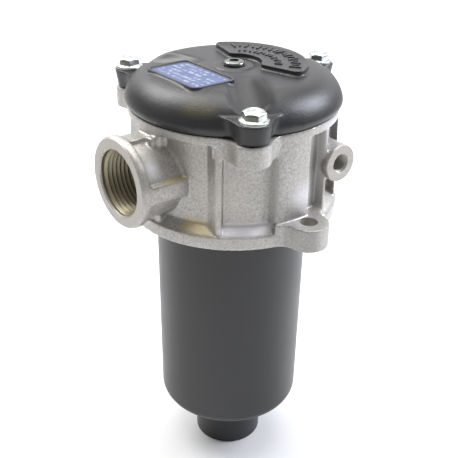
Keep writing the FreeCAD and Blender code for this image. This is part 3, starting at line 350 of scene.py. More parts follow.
@dataclass(frozen=True)
class CastSkin:
    """Die-cast aluminium: light grey, with an orange-peel skin, fine specks and faint clouds, and painted
    highlights, reflections and shade in nine boxes.
    """

    name: str = "cast_aluminium_skin"
    light: Color = rgb(0.49, 0.477, 0.456)
    dark: Color = rgb(0.275, 0.265, 0.248)
    # Painted light, in order: a warm painted reflection on the left pocket's floor; painted highlights on a
    # pocket's floor, the panel's lower part and the upper right wall; a warm painted reflection along the
    # side web's top; a painted highlight on the port's neck; painted shade in the slot, on a pocket's flank
    # and on the lug's side.
    painted_light_tints: tuple[PaintedLight, ...] = (
        PaintedLight((-0.0500, -0.0385, 0.0070), (-0.0400, -0.0205, 0.0125), 0.003, 0.75, rgb(0.46, 0.38, 0.19)),
        PaintedLight((-0.0380, -0.0500, 0.0070), (-0.0160, -0.0360, 0.0110), 0.003, 0.85, rgb(0.80, 0.79, 0.84)),
        PaintedLight((-0.0050, -0.0550, 0.0180), (0.0120, -0.0480, 0.0290), 0.009, 0.85, rgb(0.74, 0.74, 0.82)),
        PaintedLight((0.0150, -0.0560, 0.0440), (0.0400, -0.0350, 0.0600), 0.008, 0.35, rgb(0.70, 0.69, 0.75)),
        PaintedLight((-0.0570, -0.0240, 0.0332), (-0.0455, -0.0196, 0.0348), 0.0014, 0.60, rgb(0.62, 0.52, 0.25)),
        PaintedLight((-0.0650, -0.0190, 0.0352), (-0.0585, -0.0125, 0.0430), 0.0050, 0.95, rgb(0.95, 0.94, 0.99)),
        PaintedLight((0.0095, -0.0525, 0.0120), (0.0165, -0.0460, 0.0520), 0.0030, 0.70, rgb(0.20, 0.195, 0.185)),
        PaintedLight((-0.0185, -0.0540, 0.0120), (-0.0130, -0.0465, 0.0500), 0.0030, 0.50, rgb(0.20, 0.195, 0.185)),
        PaintedLight((-0.0150, -0.0700, -0.0010), (0.0150, -0.0560, 0.0112), 0.0012, 0.55, rgb(0.24, 0.235, 0.225)),
    )
    beige: Color = rgb(0.45, 0.42, 0.38)
    grain: float = 1300.0
    specks: float = 975.0
    clouds: float = 55.0
    stains: float = 22.0
    speck_share: float = 0.7
    stain_share: float = 0.35
    roughness: float = 0.42
    roughness_swing: float = 0.18
    metallic: float = 0.58
    cloud_depth: float = 0.0004
    grain_depth: float = 0.00012

    def material(self) -> bpy.types.Material:
        """Makes the material.

        Returns:
            The casting's material.
        """
        graph = Graph(self.name)
        grain = graph.noise(self.grain, 3.0, 0.6)
        clouds = graph.noise(self.clouds, 3.0, 0.55)
        specks = graph.noise(self.specks, 3.0, 0.6)
        tone = specks * self.speck_share + clouds * (1.0 - self.speck_share)
        color = graph.mix(tone.above(0.5, 0.28), self.dark, self.light)
        stained = graph.noise(self.stains, 2.0, 0.5).above(0.5, 0.25) * self.stain_share
        color = graph.mix(stained, color, self.beige)
        # Lays the painted highlights, reflections and shade over the casting's colour.
        for painted_patch in self.painted_light_tints:
            color = painted_patch.over(graph, color)
        graph.feed("Base Color", color)
        graph.feed("Metallic", self.metallic)
        graph.feed("Roughness", self.roughness + (clouds - 0.5) * self.roughness_swing)
        coarse = graph.bump(clouds, self.cloud_depth, 0.5)
        graph.feed("Normal", graph.bump(grain, self.grain_depth, 0.8, coarse))
        return graph.material


@dataclass(frozen=True)
class MachinedFace:
    """Turned aluminium: fine rings about an axis along X, with faint scratches."""

    name: str = "machined_aluminium"
    color: Color = rgb(0.42, 0.40, 0.365)
    shade: Color = rgb(0.33, 0.315, 0.285)
    metallic: float = 0.3
    centre: Point = (0.0, 0.0, PORT_HEIGHT)
    ring_pitch: float = 0.00035
    ring_share: float = 0.4
    scratches: float = 420.0
    roughness: float = 0.4
    depth: float = 0.00003

    def material(self) -> bpy.types.Material:
        """Makes the material.

        Returns:
            The machined face's material.
        """
        graph = Graph(self.name)
        place = graph.node("ShaderNodeVectorMath", {"operation": "SUBTRACT"},
                           {0: graph.place(), 1: self.centre})
        _, across, up = graph.parts(place)
        radius = (across * across + up * up) ** 0.5
        rings = (radius * (2 * math.pi / self.ring_pitch)).sine() * 0.5 + 0.5
        scratch = graph.noise(self.scratches, 3.0, 0.6)
        tone = scratch * (1.0 - self.ring_share) + rings * self.ring_share
        graph.feed("Base Color", graph.mix(tone, self.shade, self.color))
        graph.feed("Metallic", self.metallic)
        graph.feed("Roughness", self.roughness + scratch * 0.12)
        graph.feed("Normal", graph.bump(rings * 0.6 + scratch * 0.4, self.depth, 0.6))
        return graph.material


@dataclass(frozen=True)
class Moulded:
    """Moulded plastic with a fine satin grain and faint flow marks, and where given a painted reflection."""

    name: str
    color: Color
    worn: Color
    roughness: float = 0.45
    grain: float = 1500.0
    grain_depth: float = 0.00006
    clouds: float = 40.0
    # A warm painted reflection laid over the colour, where one is given.
    painted_reflection: PaintedLight | None = None
    fold_angle: float | None = None
    fold_reach: tuple[float, float] = (0.020, 0.050)
    fold_side: tuple[float, float] = (0.0030, 0.0125)
    fold_roughness: float = 0.4

    def fold(self, graph: Graph, angle: float) -> Socket:
        """A mask of the matt far wall of a valley.

        Args:
            graph: the material's nodes.
            angle: where the valley runs about Z, in degrees.

        Returns:
            The mask.
        """
        turn = math.radians(angle)
        x, y, _ = graph.parts(graph.place())
        along = x * math.cos(turn) + y * math.sin(turn)
        side = y * math.cos(turn) - x * math.sin(turn)
        return (along.above(self.fold_reach[0], 0.010) * along.below(self.fold_reach[1], 0.005)
                * side.above(self.fold_side[0], 0.006) * side.below(self.fold_side[1], 0.003))

    def material(self) -> bpy.types.Material:
        """Makes the material.

        Returns:
            The plastic's material.
        """
        graph = Graph(self.name)
        grain = graph.noise(self.grain, 2.0, 0.6)
        clouds = graph.noise(self.clouds, 4.0, 0.6)
        color = graph.mix(clouds * 0.7 + grain * 0.3, self.color, self.worn)
        # Lays the painted reflection over the plastic's colour.
        if self.painted_reflection is not None:
            color = self.painted_reflection.over(graph, color)
        graph.feed("Base Color", color)
        roughness = self.roughness + (clouds - 0.5) * 0.12
        if self.fold_angle is not None:
            roughness = roughness + self.fold(graph, self.fold_angle) * self.fold_roughness
        graph.feed("Roughness", roughness)
        graph.feed("Normal", graph.bump(grain, self.grain_depth, 0.7))
        return graph.material


@dataclass(frozen=True)
class ZincPlate:
    """Bright zinc on steel, with faint cloudy patches and drawing marks."""

    name: str = "zinc_plate"
    color: Color = rgb(0.58, 0.60, 0.61)
    stain: Color = rgb(0.44, 0.45, 0.40)
    clouds: float = 260.0
    drawing: float = 500.0
    roughness: float = 0.25
    depth: float = 0.00002

    def material(self) -> bpy.types.Material:
        """Makes the material.

        Returns:
            The plating's material.
        """
        graph = Graph(self.name)
        clouds = graph.noise(self.clouds, 3.0, 0.6)
        marks = graph.noise(self.drawing, 2.0, 0.6, (1.0, 1.0, 0.3))
        graph.feed("Base Color", graph.mix(clouds.above(0.55, 0.3), self.color, self.stain))
        graph.feed("Metallic", 1.0)
        graph.feed("Roughness", self.roughness + marks * 0.1)
        graph.feed("Normal", graph.bump(marks, self.depth, 0.25))
        return graph.material


@dataclass(frozen=True)
class LabelFilm:
    """A blue film with a navy border and rows of plain specks, with nothing to read."""

    name: str = "label_film_bare"
    field_color: Color = rgb(0.026, 0.048, 0.145)
    soft: Color = rgb(0.038, 0.064, 0.17)
    pale: Color = rgb(0.24, 0.27, 0.33)
    border: Color = rgb(0.004, 0.006, 0.018)
    centre_x: float = LABEL_CENTRE
    half_width: float = 0.01125
    half_length: float = 0.01925
    border_width: float = 0.0007
    corner: float = 0.0029
    row_pitch: float = 0.0033
    row_height: float = 0.0019
    margin: float = 0.0024
    edge_softness: float = 0.0003
    specks: float = 520.0
    groups: float = 150.0
    speck_share: float = 0.85
    clouds: float = 90.0

    def material(self) -> bpy.types.Material:
        """Makes the material.

        Returns:
            The label's material.
        """
        graph = Graph(self.name)
        x, y, _ = graph.parts(graph.place())
        along = abs(y)
        across = abs(x - self.centre_x)
        past_x = (across - (self.half_width - self.corner)).at_least(0.0)
        past_y = (along - (self.half_length - self.corner)).at_least(0.0)
        out = (past_x * past_x + past_y * past_y) ** 0.5
        edge = out.above(self.corner - self.border_width, self.edge_softness)
        row = (x - self.centre_x + self.half_width - self.margin).saw(self.row_pitch)
        in_row = row.below(self.row_height, self.edge_softness)
        inside = (along.below(self.half_length - self.margin, 0.0004)
                  * across.below(self.half_width - self.margin, 0.0004))
        specks = graph.noise(self.specks, 1.0, 0.5, (0.6, 1.0, 1.0)).above(0.48, 0.14)
        groups = graph.noise(self.groups, 1.0, 0.5, (1.6, 1.0, 1.0)).above(0.42, 0.1)
        sheen = graph.noise(self.clouds, 3.0, 0.6)
        blue = graph.mix(sheen, self.field_color, self.soft)
        marked = graph.mix(in_row * inside * specks * groups * self.speck_share, blue, self.pale)
        graph.feed("Base Color", graph.mix(edge, marked, self.border))
        graph.feed("Roughness", 0.34 + sheen * 0.12)
        graph.feed("Coat Weight", 0.08)
        return graph.material


@dataclass(frozen=True)
class Wire:
    """Drawn spring wire."""

    name: str = "drawn_wire"
    dark: Color = rgb(0.42, 0.42, 0.43)
    light: Color = rgb(0.62, 0.62, 0.63)
    drawing: float = 900.0
    roughness: float = 0.28

    def material(self) -> bpy.types.Material:
        """Makes the material.

        Returns:
            The wire's material.
        """
        graph = Graph(self.name)
        marks = graph.noise(self.drawing, 3.0, 0.6)
        graph.feed("Base Color", graph.mix(marks, self.dark, self.light))
        graph.feed("Metallic", 1.0)
        graph.feed("Roughness", self.roughness + marks * 0.15)
        return graph.material


@dataclass(frozen=True)
class PleatedGlass:
    """Cream filter media with its fibres."""

    name: str = "filter_media"
    dark: Color = rgb(0.62, 0.58, 0.46)
    light: Color = rgb(0.86, 0.84, 0.76)
    fibres: float = 1600.0
    depth: float = 0.00012
    roughness: float = 0.75

    def material(self) -> bpy.types.Material:
        """Makes the material.

        Returns:
            The filter media's material.
        """
        graph = Graph(self.name)
        fibres = graph.noise(self.fibres, 4.0, 0.7, (1.0, 1.0, 0.3))
        graph.feed("Base Color", graph.mix(fibres, self.dark, self.light))
        graph.feed("Roughness", self.roughness + fibres * 0.2)
        graph.feed("Normal", graph.bump(fibres, self.depth, 0.8))
        return graph.material


class Bench:
    """Shared ways of making pieces."""

    @staticmethod
    def turned(profile: Profile, steps: int = 96, axis: Axis = Axis.Z,
               centre: Vector = Vector((0.0, 0.0, 0.0))) -> bmesh.types.BMesh:
        """Spins a closed or axis-to-axis profile about an axis through a centre.

        Args:
            profile: radius and height pairs, along the axis from the centre.
            steps: divisions of the full turn.
            axis: what the profile is spun about.
            centre: a point on the axis.

        Returns:
            The turned mesh, with its normals outwards.
        """
        along = Vector(axis.value)
        out = Vector((0.0, 0.0, 1.0)) if axis is not Axis.Z else Vector((1.0, 0.0, 0.0))
        mesh = bmesh.new()
        points = [mesh.verts.new(centre + out * r + along * h) for r, h in profile]
        edges = [mesh.edges.new(pair) for pair in zip(points, points[1:])]
        if profile[0][0] > SAME_PLACE and profile[-1][0] > SAME_PLACE:
            edges.append(mesh.edges.new((points[-1], points[0])))
        bmesh.ops.spin(mesh, geom=points + edges, cent=centre, axis=along, angle=2 * math.pi,
                       steps=steps, use_merge=True, dvec=(0.0, 0.0, 0.0))
        bmesh.ops.remove_doubles(mesh, verts=mesh.verts, dist=SAME_PLACE)
        bmesh.ops.recalc_face_normals(mesh, faces=mesh.faces)
        return mesh

    @staticmethod
    def cylinder(radius: float, low: float, high: float, steps: int = 64, axis: Axis = Axis.Z,
                 centre: Vector = Vector((0.0, 0.0, 0.0))) -> bmesh.types.BMesh:
        """A cylinder about an axis through a centre.

        Args:
            radius: its radius.
            low: where it starts along the axis, from the centre.
            high: where it ends.
            steps: divisions of the full turn.
            axis: its direction.
            centre: a point on the axis.

        Returns:
            The closed mesh.
        """
        return Bench.turned([(0.0, low), (radius, low), (radius, high), (0.0, high)], steps, axis, centre)

    @staticmethod
    def piece(name: str, mesh: bmesh.types.BMesh, materials: Sequence[bpy.types.Material],
              sharp: float = 35.0) -> bpy.types.Object:
        """Makes an object from a mesh, smooth but for its sharp edges.

        Args:
            name: the piece's name.
            mesh: its mesh, which is freed.
            materials: its material slots.
            sharp: the angle of a sharp edge, in degrees.

        Returns:
            The object.
        """
        data = bpy.data.meshes.new(name)
        mesh.to_mesh(data)
        mesh.free()
        return Bench.object_from(name, data, materials, sharp)

    @staticmethod
    def object_from(name: str, data: bpy.types.Mesh, materials: Sequence[bpy.types.Material],
                    sharp: float) -> bpy.types.Object:
        """Links a mesh as an object, smooth but for its sharp edges.

        Args:
            name: the object's name.
            data: its mesh.
            materials: its material slots.
            sharp: the angle of a sharp edge, in degrees.

        Returns:
            The object.
        """
        data.name = name
        data.materials.clear()
        for material in materials:
            data.materials.append(material)
        data.shade_smooth()
        data.set_sharp_from_angle(angle=math.radians(sharp))
        made = bpy.data.objects.new(name, data)
        bpy.context.scene.collection.objects.link(made)
        return made

    @staticmethod
    def applied(item: bpy.types.Object) -> bpy.types.Mesh:
        """The object's mesh with its modifiers applied.

        Args:
            item: the object, which is removed.

        Returns:
            The mesh.
        """
        bpy.context.view_layer.update()
        graph = bpy.context.evaluated_depsgraph_get()
        data = bpy.data.meshes.new_from_object(item.evaluated_get(graph))
        bpy.data.objects.remove(item)
        return data

    @staticmethod
    def soft_skin(name: str, source: bmesh.types.BMesh, voxel: float, rounds: int, triangles: int,
                  extras: Sequence[tuple[Callable[[Vector], bool], int]] = ()) -> bpy.types.Object:
        """One smooth skin over a mesh, with its edges rounded as a casting's are.

        Args:
            name: the object's name.
            source: the mesh, whose overlapping parts become one.
            voxel: the size of the skin's cells.
            rounds: how often the skin is smoothed.
            triangles: about how many triangles are left.
            extras: which points are smoothed more, and how often.

        Returns:
            The object.
        """
        rough = Bench.piece(name + "_blank", source, [])
        skin = rough.modifiers.new("skin", "REMESH")
        skin.mode = "VOXEL"
        skin.voxel_size = voxel
        skin.adaptivity = 0.0
        mesh = Bench.opened(Bench.applied(rough))
        everything = list(mesh.verts)
        for _ in range(rounds):
            bmesh.ops.smooth_vert(mesh, verts=everything, factor=0.5,
                                  use_axis_x=True, use_axis_y=True, use_axis_z=True)
        for is_extra, times in extras:
            chosen = [vert for vert in mesh.verts if is_extra(vert.co)]
            for _ in range(times):
                bmesh.ops.smooth_vert(mesh, verts=chosen, factor=0.5,
                                      use_axis_x=True, use_axis_y=True, use_axis_z=True)
        made = sum(len(face.verts) - 2 for face in mesh.faces)
        dense = Bench.piece(name, mesh, [], sharp=180.0)
        if made <= triangles:
            return dense
        fewer = dense.modifiers.new("fewer", "DECIMATE")
        fewer.ratio = triangles / made
        return Bench.object_from(name, Bench.applied(dense), [], sharp=180.0)

    @staticmethod
    def rounded(item: bpy.types.Object, width: float, segments: int = 2,
                angle: float = 30.0) -> bpy.types.Mesh:
        """The object's mesh with its sharp edges rounded.

        Args:
            item: the object, which is removed.
            width: the width of the rounding.
            segments: how many faces make it.
            angle: the angle of a sharp edge, in degrees.

        Returns:
            The mesh.
        """
        bevel = item.modifiers.new("rounded", "BEVEL")
        bevel.width = width
        bevel.segments = segments
        bevel.limit_method = "ANGLE"
        bevel.angle_limit = math.radians(angle)
        return Bench.applied(item)

    @staticmethod
    def soft_corners(corners: Sequence[Vector], radius: float, steps: int = 6) -> list[Vector]:
        """An outline's corners, each made an arc of a radius.

        Args:
            corners: the outline's corners in order.
            radius: the arcs' radius.
            steps: divisions of each arc.

        Returns:
            The points of the rounded outline.
        """
        points = []
        count = len(corners)
        almost_straight = math.radians(80.0)
        for index, corner in enumerate(corners):
            before = (corners[index - 1] - corner).normalized()
            after = (corners[(index + 1) % count] - corner).normalized()
            half = before.angle(after) / 2
            if half > almost_straight:
                points.append(corner)
                continue
            centre = corner + (before + after).normalized() * (radius / math.sin(half))
            start = corner + before * (radius / math.tan(half)) - centre
            end = corner + after * (radius / math.tan(half)) - centre
            for step in range(steps + 1):
                points.append(centre + start.slerp(end, step / steps) * radius)
        return points

    @staticmethod
    def tray(outline: Sequence[Vector], base: float, top: float, rim: float, floor: float,
             slope: float = 0.3) -> bmesh.types.BMesh:
        """A block of an outline with a rim round a sunk field.

        Args:
            outline: its points, seen from above.
            base: the height of its underside.
            top: the height of its rim.
            rim: the width of the rim.
            floor: the height of the field.
            slope: the run of the field's sides for their height.

        Returns:
            The closed mesh.
        """
        mesh = bmesh.new()
        low = mesh.faces.new([mesh.verts.new((point.x, point.y, base)) for point in outline])
        raised = bmesh.ops.extrude_face_region(mesh, geom=[low])
        upper = [item for item in raised["geom"] if isinstance(item, bmesh.types.BMVert)]
        bmesh.ops.translate(mesh, verts=upper, vec=(0.0, 0.0, top - base))
        field_face = next(item for item in raised["geom"] if isinstance(item, bmesh.types.BMFace))
        bmesh.ops.recalc_face_normals(mesh, faces=mesh.faces)
        bmesh.ops.inset_region(mesh, faces=[field_face], thickness=rim, use_even_offset=True)
        bmesh.ops.inset_region(mesh, faces=[field_face], thickness=(top - floor) * slope, depth=0.0,
                               use_even_offset=True)
        bmesh.ops.translate(mesh, verts=field_face.verts, vec=(0.0, 0.0, floor - top))
        return mesh

    @staticmethod
    def node_copy(node: bpy.types.Object) -> bmesh.types.BMesh:
        """A merged copy of a node's mesh.

        Args:
            node: the node, which stays as it is.

        Returns:
            The copy.
        """
        mesh = Bench.opened(node.data)
        bmesh.ops.remove_doubles(mesh, verts=mesh.verts, dist=SAME_CORNER)
        return mesh

    @staticmethod
    def opened(data: bpy.types.Mesh) -> bmesh.types.BMesh:
        """A mesh opened for more work.

        Args:
            data: the mesh.

        Returns:
            The opened mesh.
        """
        mesh = bmesh.new()
        mesh.from_mesh(data)
        return mesh

    @staticmethod
    def block(middle: Vector, size: Vector) -> bmesh.types.BMesh:
        """A box of a size about its middle.

        Args:
            middle: its middle.
            size: its size along each axis.

        Returns:
            The closed mesh.
        """
        mesh = bmesh.new()
        place = Matrix.Translation(middle) @ Matrix.Diagonal((*size, 1.0))
        bmesh.ops.create_cube(mesh, size=1.0, matrix=place)
        return mesh

    @staticmethod
    def join(first: bmesh.types.BMesh, second: bmesh.types.BMesh) -> bmesh.types.BMesh:
        """Adds a second mesh to a first.

        Args:
            first: the mesh that is added to.
            second: the mesh that is added, which is freed.

        Returns:
            The first mesh.
        """
        data = bpy.data.meshes.new("joined")
        second.to_mesh(data)
        second.free()
        first.from_mesh(data)
        bpy.data.meshes.remove(data)
        return first

    @staticmethod
    def cut(item: bpy.types.Object, cutters: Sequence[bmesh.types.BMesh]) -> bpy.types.Mesh:
        """Takes closed meshes away from an object.

        Args:
            item: the object, which is removed.
            cutters: the meshes to take away, which are freed.

        Returns:
            The cut mesh.
        """
        tools = []
        for number, cutter in enumerate(cutters):
            tool = Bench.piece("cutter_%d" % number, cutter, [])
            taking = item.modifiers.new("cut_%d" % number, "BOOLEAN")
            taking.operation = "DIFFERENCE"
            taking.solver = "EXACT"
            taking.object = tool
            tools.append(tool)
        data = Bench.applied(item)
        for tool in tools:
            bpy.data.objects.remove(tool)
        return data


@dataclass
class Threads:
    """A female pipe thread as one helical shell in a bore."""

    name: str
    mouth: Vector
    inward: Axis
    crest: float
    root: float
    pitch: float
    length: float
    steps: int = 72
    shell: float = 0.0003
    outline: Profile = ((0.0, 1.0), (0.12, 0.93), (0.42, 0.07), (0.5, 0.0), (0.58, 0.07), (0.88, 0.93),
                        (1.0, 1.0))
    same_corner: float = 1e-6

    def build(self, material: bpy.types.Material) -> bpy.types.Object:
        """Sweeps one pitch of the thread's outline along the helix.

        Args:
            material: the finish of the thread.

        Returns:
            The thread.
        """
        along = Vector(self.inward.value)
        out = Vector((0.0, 0.0, 1.0))
        mesh = bmesh.new()
        points = []
        for share, depth in self.outline:
            radius = self.crest + (self.root - self.crest) * depth
            points.append(mesh.verts.new(self.mouth + out * radius + along * (share * self.pitch)))
        edges = [mesh.edges.new(pair) for pair in zip(points, points[1:])]
        turns = self.length / self.pitch - 1.0
        count = int(self.steps * turns)
        bmesh.ops.spin(mesh, geom=points + edges, cent=self.mouth, axis=along,
                       angle=2 * math.pi * count / self.steps, steps=count,
                       dvec=along * (self.pitch / self.steps), use_merge=False)
        bmesh.ops.remove_doubles(mesh, verts=mesh.verts, dist=self.same_corner)
        bmesh.ops.recalc_face_normals(mesh, faces=mesh.faces)
        middle = self.mouth + along * (self.length / 2)
        face = min(mesh.faces, key=lambda f: (f.calc_center_median() - middle).length)
        centre = face.calc_center_median()
        radial = centre - (self.mouth + along * (centre - self.mouth).dot(along))
        if face.normal.dot(radial) > 0:
            bmesh.ops.reverse_faces(mesh, faces=mesh.faces)
        bmesh.ops.solidify(mesh, geom=mesh.faces, thickness=self.shell)
        bmesh.ops.recalc_face_normals(mesh, faces=mesh.faces)
        return Bench.piece(self.name, mesh, [material], sharp=60.0)


@dataclass
class Head:
    """The die-cast head with its machined faces and threads."""

    nodes: dict
    cast: bpy.types.Material
    machined: bpy.types.Material
    # The inlet bore's and thread's finish: painted shade and a painted warm reflection.
    bore: bpy.types.Material
    voxel: float = 0.00056
    smoothing: int = 3
    triangles: int = 170000
    tool_clear: float = 0.01
    overlap: float = 0.0001
    close: float = 0.00005
    facing: float = 0.99
    port_face: float = -0.0705
    port_height: float = PORT_HEIGHT
    port_rim: float = 0.0226
    port_rim_edge: float = 0.0212
    port_rim_back: float = -0.0660
    port_stock: float = 0.001
    port_plug: float = 0.0185
    port_plug_depth: float = 0.018
    port_facing_tool: float = 0.03
    port_depths: Point = (0.0215, 0.0225, 0.040)
    neck: float = 0.0203
    neck_middle: float = -0.055
    neck_half: float = 0.035
    mouth_radius: float = 0.0174
    mouth_lip: float = 0.0012
    bore_end: float = -0.045
    thread_start: float = 0.0007
    thread_length: float = 0.0212
    thread_root: float = 0.01662
    thread_crest: float = 0.015145
    thread_pitch: float = 0.002309
    web_half: float = 0.0050
    side_web_low: float = 0.0243
    flat_half: float = 0.0105
    hollow_low: float = 0.0070
    hollow_side: float = 0.0260
    hollow_end: float = -0.0400
    wall: float = 0.0551
    wall_root: float = 0.0501
    wall_top: float = 0.045
    flange: float = 0.0552
    flange_top: float = 0.0069
    flange_slope_top: float = 0.0106
    gauge_x: float = 0.0256
    gauge_height: float = 0.034
    gauge_face: float = -0.054
    gauge_pad: float = 0.0092
    gauge_stock: float = 0.0008
    gauge_plug_depth: float = 0.006
    gauge_facing_tool: float = 0.02
    gauge_depths: Point = (0.0115, 0.012, 0.024)
    gauge_spot: float = 0.011
    gauge_end: float = -0.035
    gauge_mouth: float = 0.0051
    gauge_start: float = 0.0003
    gauge_length: float = 0.0115
    gauge_root: float = 0.00486
    gauge_crest: float = 0.004283
    gauge_pitch: float = 0.000907
    gauge_steps: int = 48
    gauge_shell: float = 0.00012
    lug_reach: float = 0.060
    lug_thick: float = 0.0119
    lug_hole: float = 0.0045
    lug_plug: float = 0.0052
    lug_tool: tuple[float, float] = (-0.002, 0.02)

    def port(self, depth: float = 0.0) -> Vector:
        """A point on the inlet's axis, at a depth behind its face."""
        return Vector((self.port_face + depth, 0.0, self.port_height))

    def gauge(self, depth: float = 0.0) -> Vector:
        """A point on the gauge port's axis, at a depth behind its face."""
        return Vector((self.gauge_x, self.gauge_face + depth, self.gauge_height))

    def lugs(self) -> list[Vector]:
        """The middles of the two lug holes, at the mounting face."""
        return [Vector((0.0, side * self.lug_reach, 0.0)) for side in (-1.0, 1.0)]

    def blank(self) -> bmesh.types.BMesh:
        """The casting before it was machined: its holes are still full.

        Returns:
            The closed mesh.
        """
        solid = Bench.piece("head_node", Bench.node_copy(self.nodes["filter_head"]), [])
        mesh = Bench.opened(Bench.cut(solid, self.hollows()))
        stock = self.port_stock
        outline = [(0.0, -stock), (self.port_rim_edge, -stock), (self.port_rim, stock),
                   (self.port_rim, 2 * stock), (self.port_plug, 3 * stock),
                   (self.port_plug, self.port_plug_depth), (0.0, self.port_plug_depth)]
        Bench.join(mesh, Bench.turned(outline, 64, Axis.X, self.port()))
        Bench.join(mesh, Bench.cylinder(self.gauge_pad, -self.gauge_stock, self.gauge_plug_depth, 48,
                                        Axis.Y, self.gauge()))
        for lug in self.lugs():
            Bench.join(mesh, Bench.cylinder(self.lug_plug, 0.0, self.lug_thick, 32, Axis.Z, lug))
        return mesh

    def hollows(self) -> list[bmesh.types.BMesh]:
        """The hollows under the port's side webs, outside its neck and the wall.

        Returns:
            The hollows' tools.
        """
        full_wall = [(0.0, 0.0), (self.wall, 0.0), (self.wall, self.wall_top), (0.0, self.wall_top)]
        sunk_wall = [(0.0, 0.0), (self.flange, 0.0), (self.flange, self.flange_top),
                     (self.wall_root, self.flange_slope_top), (self.wall_root, self.wall_top),
                     (0.0, self.wall_top)]
        spans = ((self.web_half, self.flat_half + self.overlap, full_wall),
                 (self.flat_half, self.hollow_side, sunk_wall))
        return [self.hollow(side, *span) for side in (-1.0, 1.0) for span in spans]

    def hollow(self, side: float, start: float, end: float, wall: Profile) -> bmesh.types.BMesh:
        """The tool of one hollow.

        Args:
            side: -1 for the side of the gauge port and 1 for the other.
            start: where it starts, sideways from the port's middle.
            end: where it ends.
            wall: the outline of the wall, which is kept.

        Returns:
            The tool.
        """
        low, high = self.hollow_low, self.side_web_low
        middle = Vector(((self.port_rim_back + self.hollow_end) / 2, side * (start + end) / 2,
                         (low + high) / 2))
        size = Vector((self.hollow_end - self.port_rim_back, end - start, high - low))
        block = Bench.piece("hollow_blank", Bench.block(middle, size), [])
        neck = Bench.cylinder(self.neck, -self.neck_half, self.neck_half, 128, Axis.X,
                              Vector((self.neck_middle, 0.0, self.port_height)))
        return Bench.opened(Bench.cut(block, [neck, Bench.turned(wall, 192)]))

    def port_tool(self, facing: float, mouth: float, root: float, crest: float, depths: Point) -> Profile:
        """The outline of a tool that faces, chamfers and bores a port.

        Args:
            facing: the radius that it faces.
            mouth: the chamfer's radius at the face.
            root: the radius at the thread's root.
            crest: the radius at its crest.
            depths: how deep the root, its runout and the bore go.

        Returns:
            The outline.
        """
        full, runout, bottom = depths
        return [(0.0, -self.tool_clear), (facing, -self.tool_clear), (facing, 0.0), (mouth, 0.0),
                (root, mouth - root), (root, full), (crest, runout), (crest, bottom), (0.0, bottom)]

    def cutters(self) -> list[bmesh.types.BMesh]:
        """The tools that face, bore and chamfer the blank.

        Returns:
            The tools.
        """
        port = self.port_tool(self.port_facing_tool, self.mouth_radius, self.thread_root,
                              self.thread_crest, self.port_depths)
        gauge = self.port_tool(self.gauge_facing_tool, self.gauge_mouth, self.gauge_root,
                               self.gauge_crest, self.gauge_depths)
        tools = [Bench.turned(port, 96, Axis.X, self.port()), Bench.turned(gauge, 64, Axis.Y, self.gauge())]
        for lug in self.lugs():
            tools.append(Bench.cylinder(self.lug_hole, *self.lug_tool, 64, Axis.Z, lug))
        return tools

    def finish(self, centre: Vector, normal: Vector) -> Finish:
        """Which finish a face of the casting has.

        Args:
            centre: the middle of the face.
            normal: its normal.

        Returns:
            Its finish.
        """
        from_port = math.hypot(centre.y, centre.z - self.port_height)
        if centre.x < self.port_face + self.close and normal.x < -self.facing:
            return Finish.MACHINED
        if centre.x < self.bore_end and from_port < self.mouth_radius + self.close:
            return Finish.BORED if centre.x > self.port_face + self.mouth_lip else Finish.CAST
        from_gauge = math.hypot(centre.x - self.gauge_x, centre.z - self.gauge_height)
        on_face = centre.y < self.gauge_face + self.close and normal.y < -self.facing
        if on_face and from_gauge < self.gauge_spot:
            return Finish.MACHINED
        if centre.y < self.gauge_end and from_gauge < self.gauge_mouth + self.close:
            return Finish.MACHINED
        from_lug = math.hypot(centre.x, abs(centre.y) - self.lug_reach)
        return Finish.MACHINED if from_lug < self.lug_hole + self.close else Finish.CAST

    def build(self) -> list[bpy.types.Object]:
        """Makes the head and its threads.

        Returns:
            The casting and the two threads.
        """
        skin = Bench.soft_skin("head_blank", self.blank(), self.voxel, self.smoothing, self.triangles)
        data = Bench.cut(skin, self.cutters())
        casting = Bench.object_from("head_casting", data, [self.cast, self.machined, self.bore], sharp=32.0)
        for face in data.polygons:
            face.material_index = self.finish(face.center, face.normal).value
        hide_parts("filter_head")
        inlet = Threads("inlet_thread", self.port(self.thread_start), Axis.X, self.thread_crest,
                        self.thread_root, self.thread_pitch, self.thread_length)
        gauge = Threads("gauge_thread", self.gauge(self.gauge_start), Axis.Y, self.gauge_crest,
                        self.gauge_root, self.gauge_pitch, self.gauge_length,
                        self.gauge_steps, self.gauge_shell)
        pieces = [casting, inlet.build(self.bore), gauge.build(self.machined)]
        for piece in pieces:
            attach(piece, HOUSING)
        return pieces


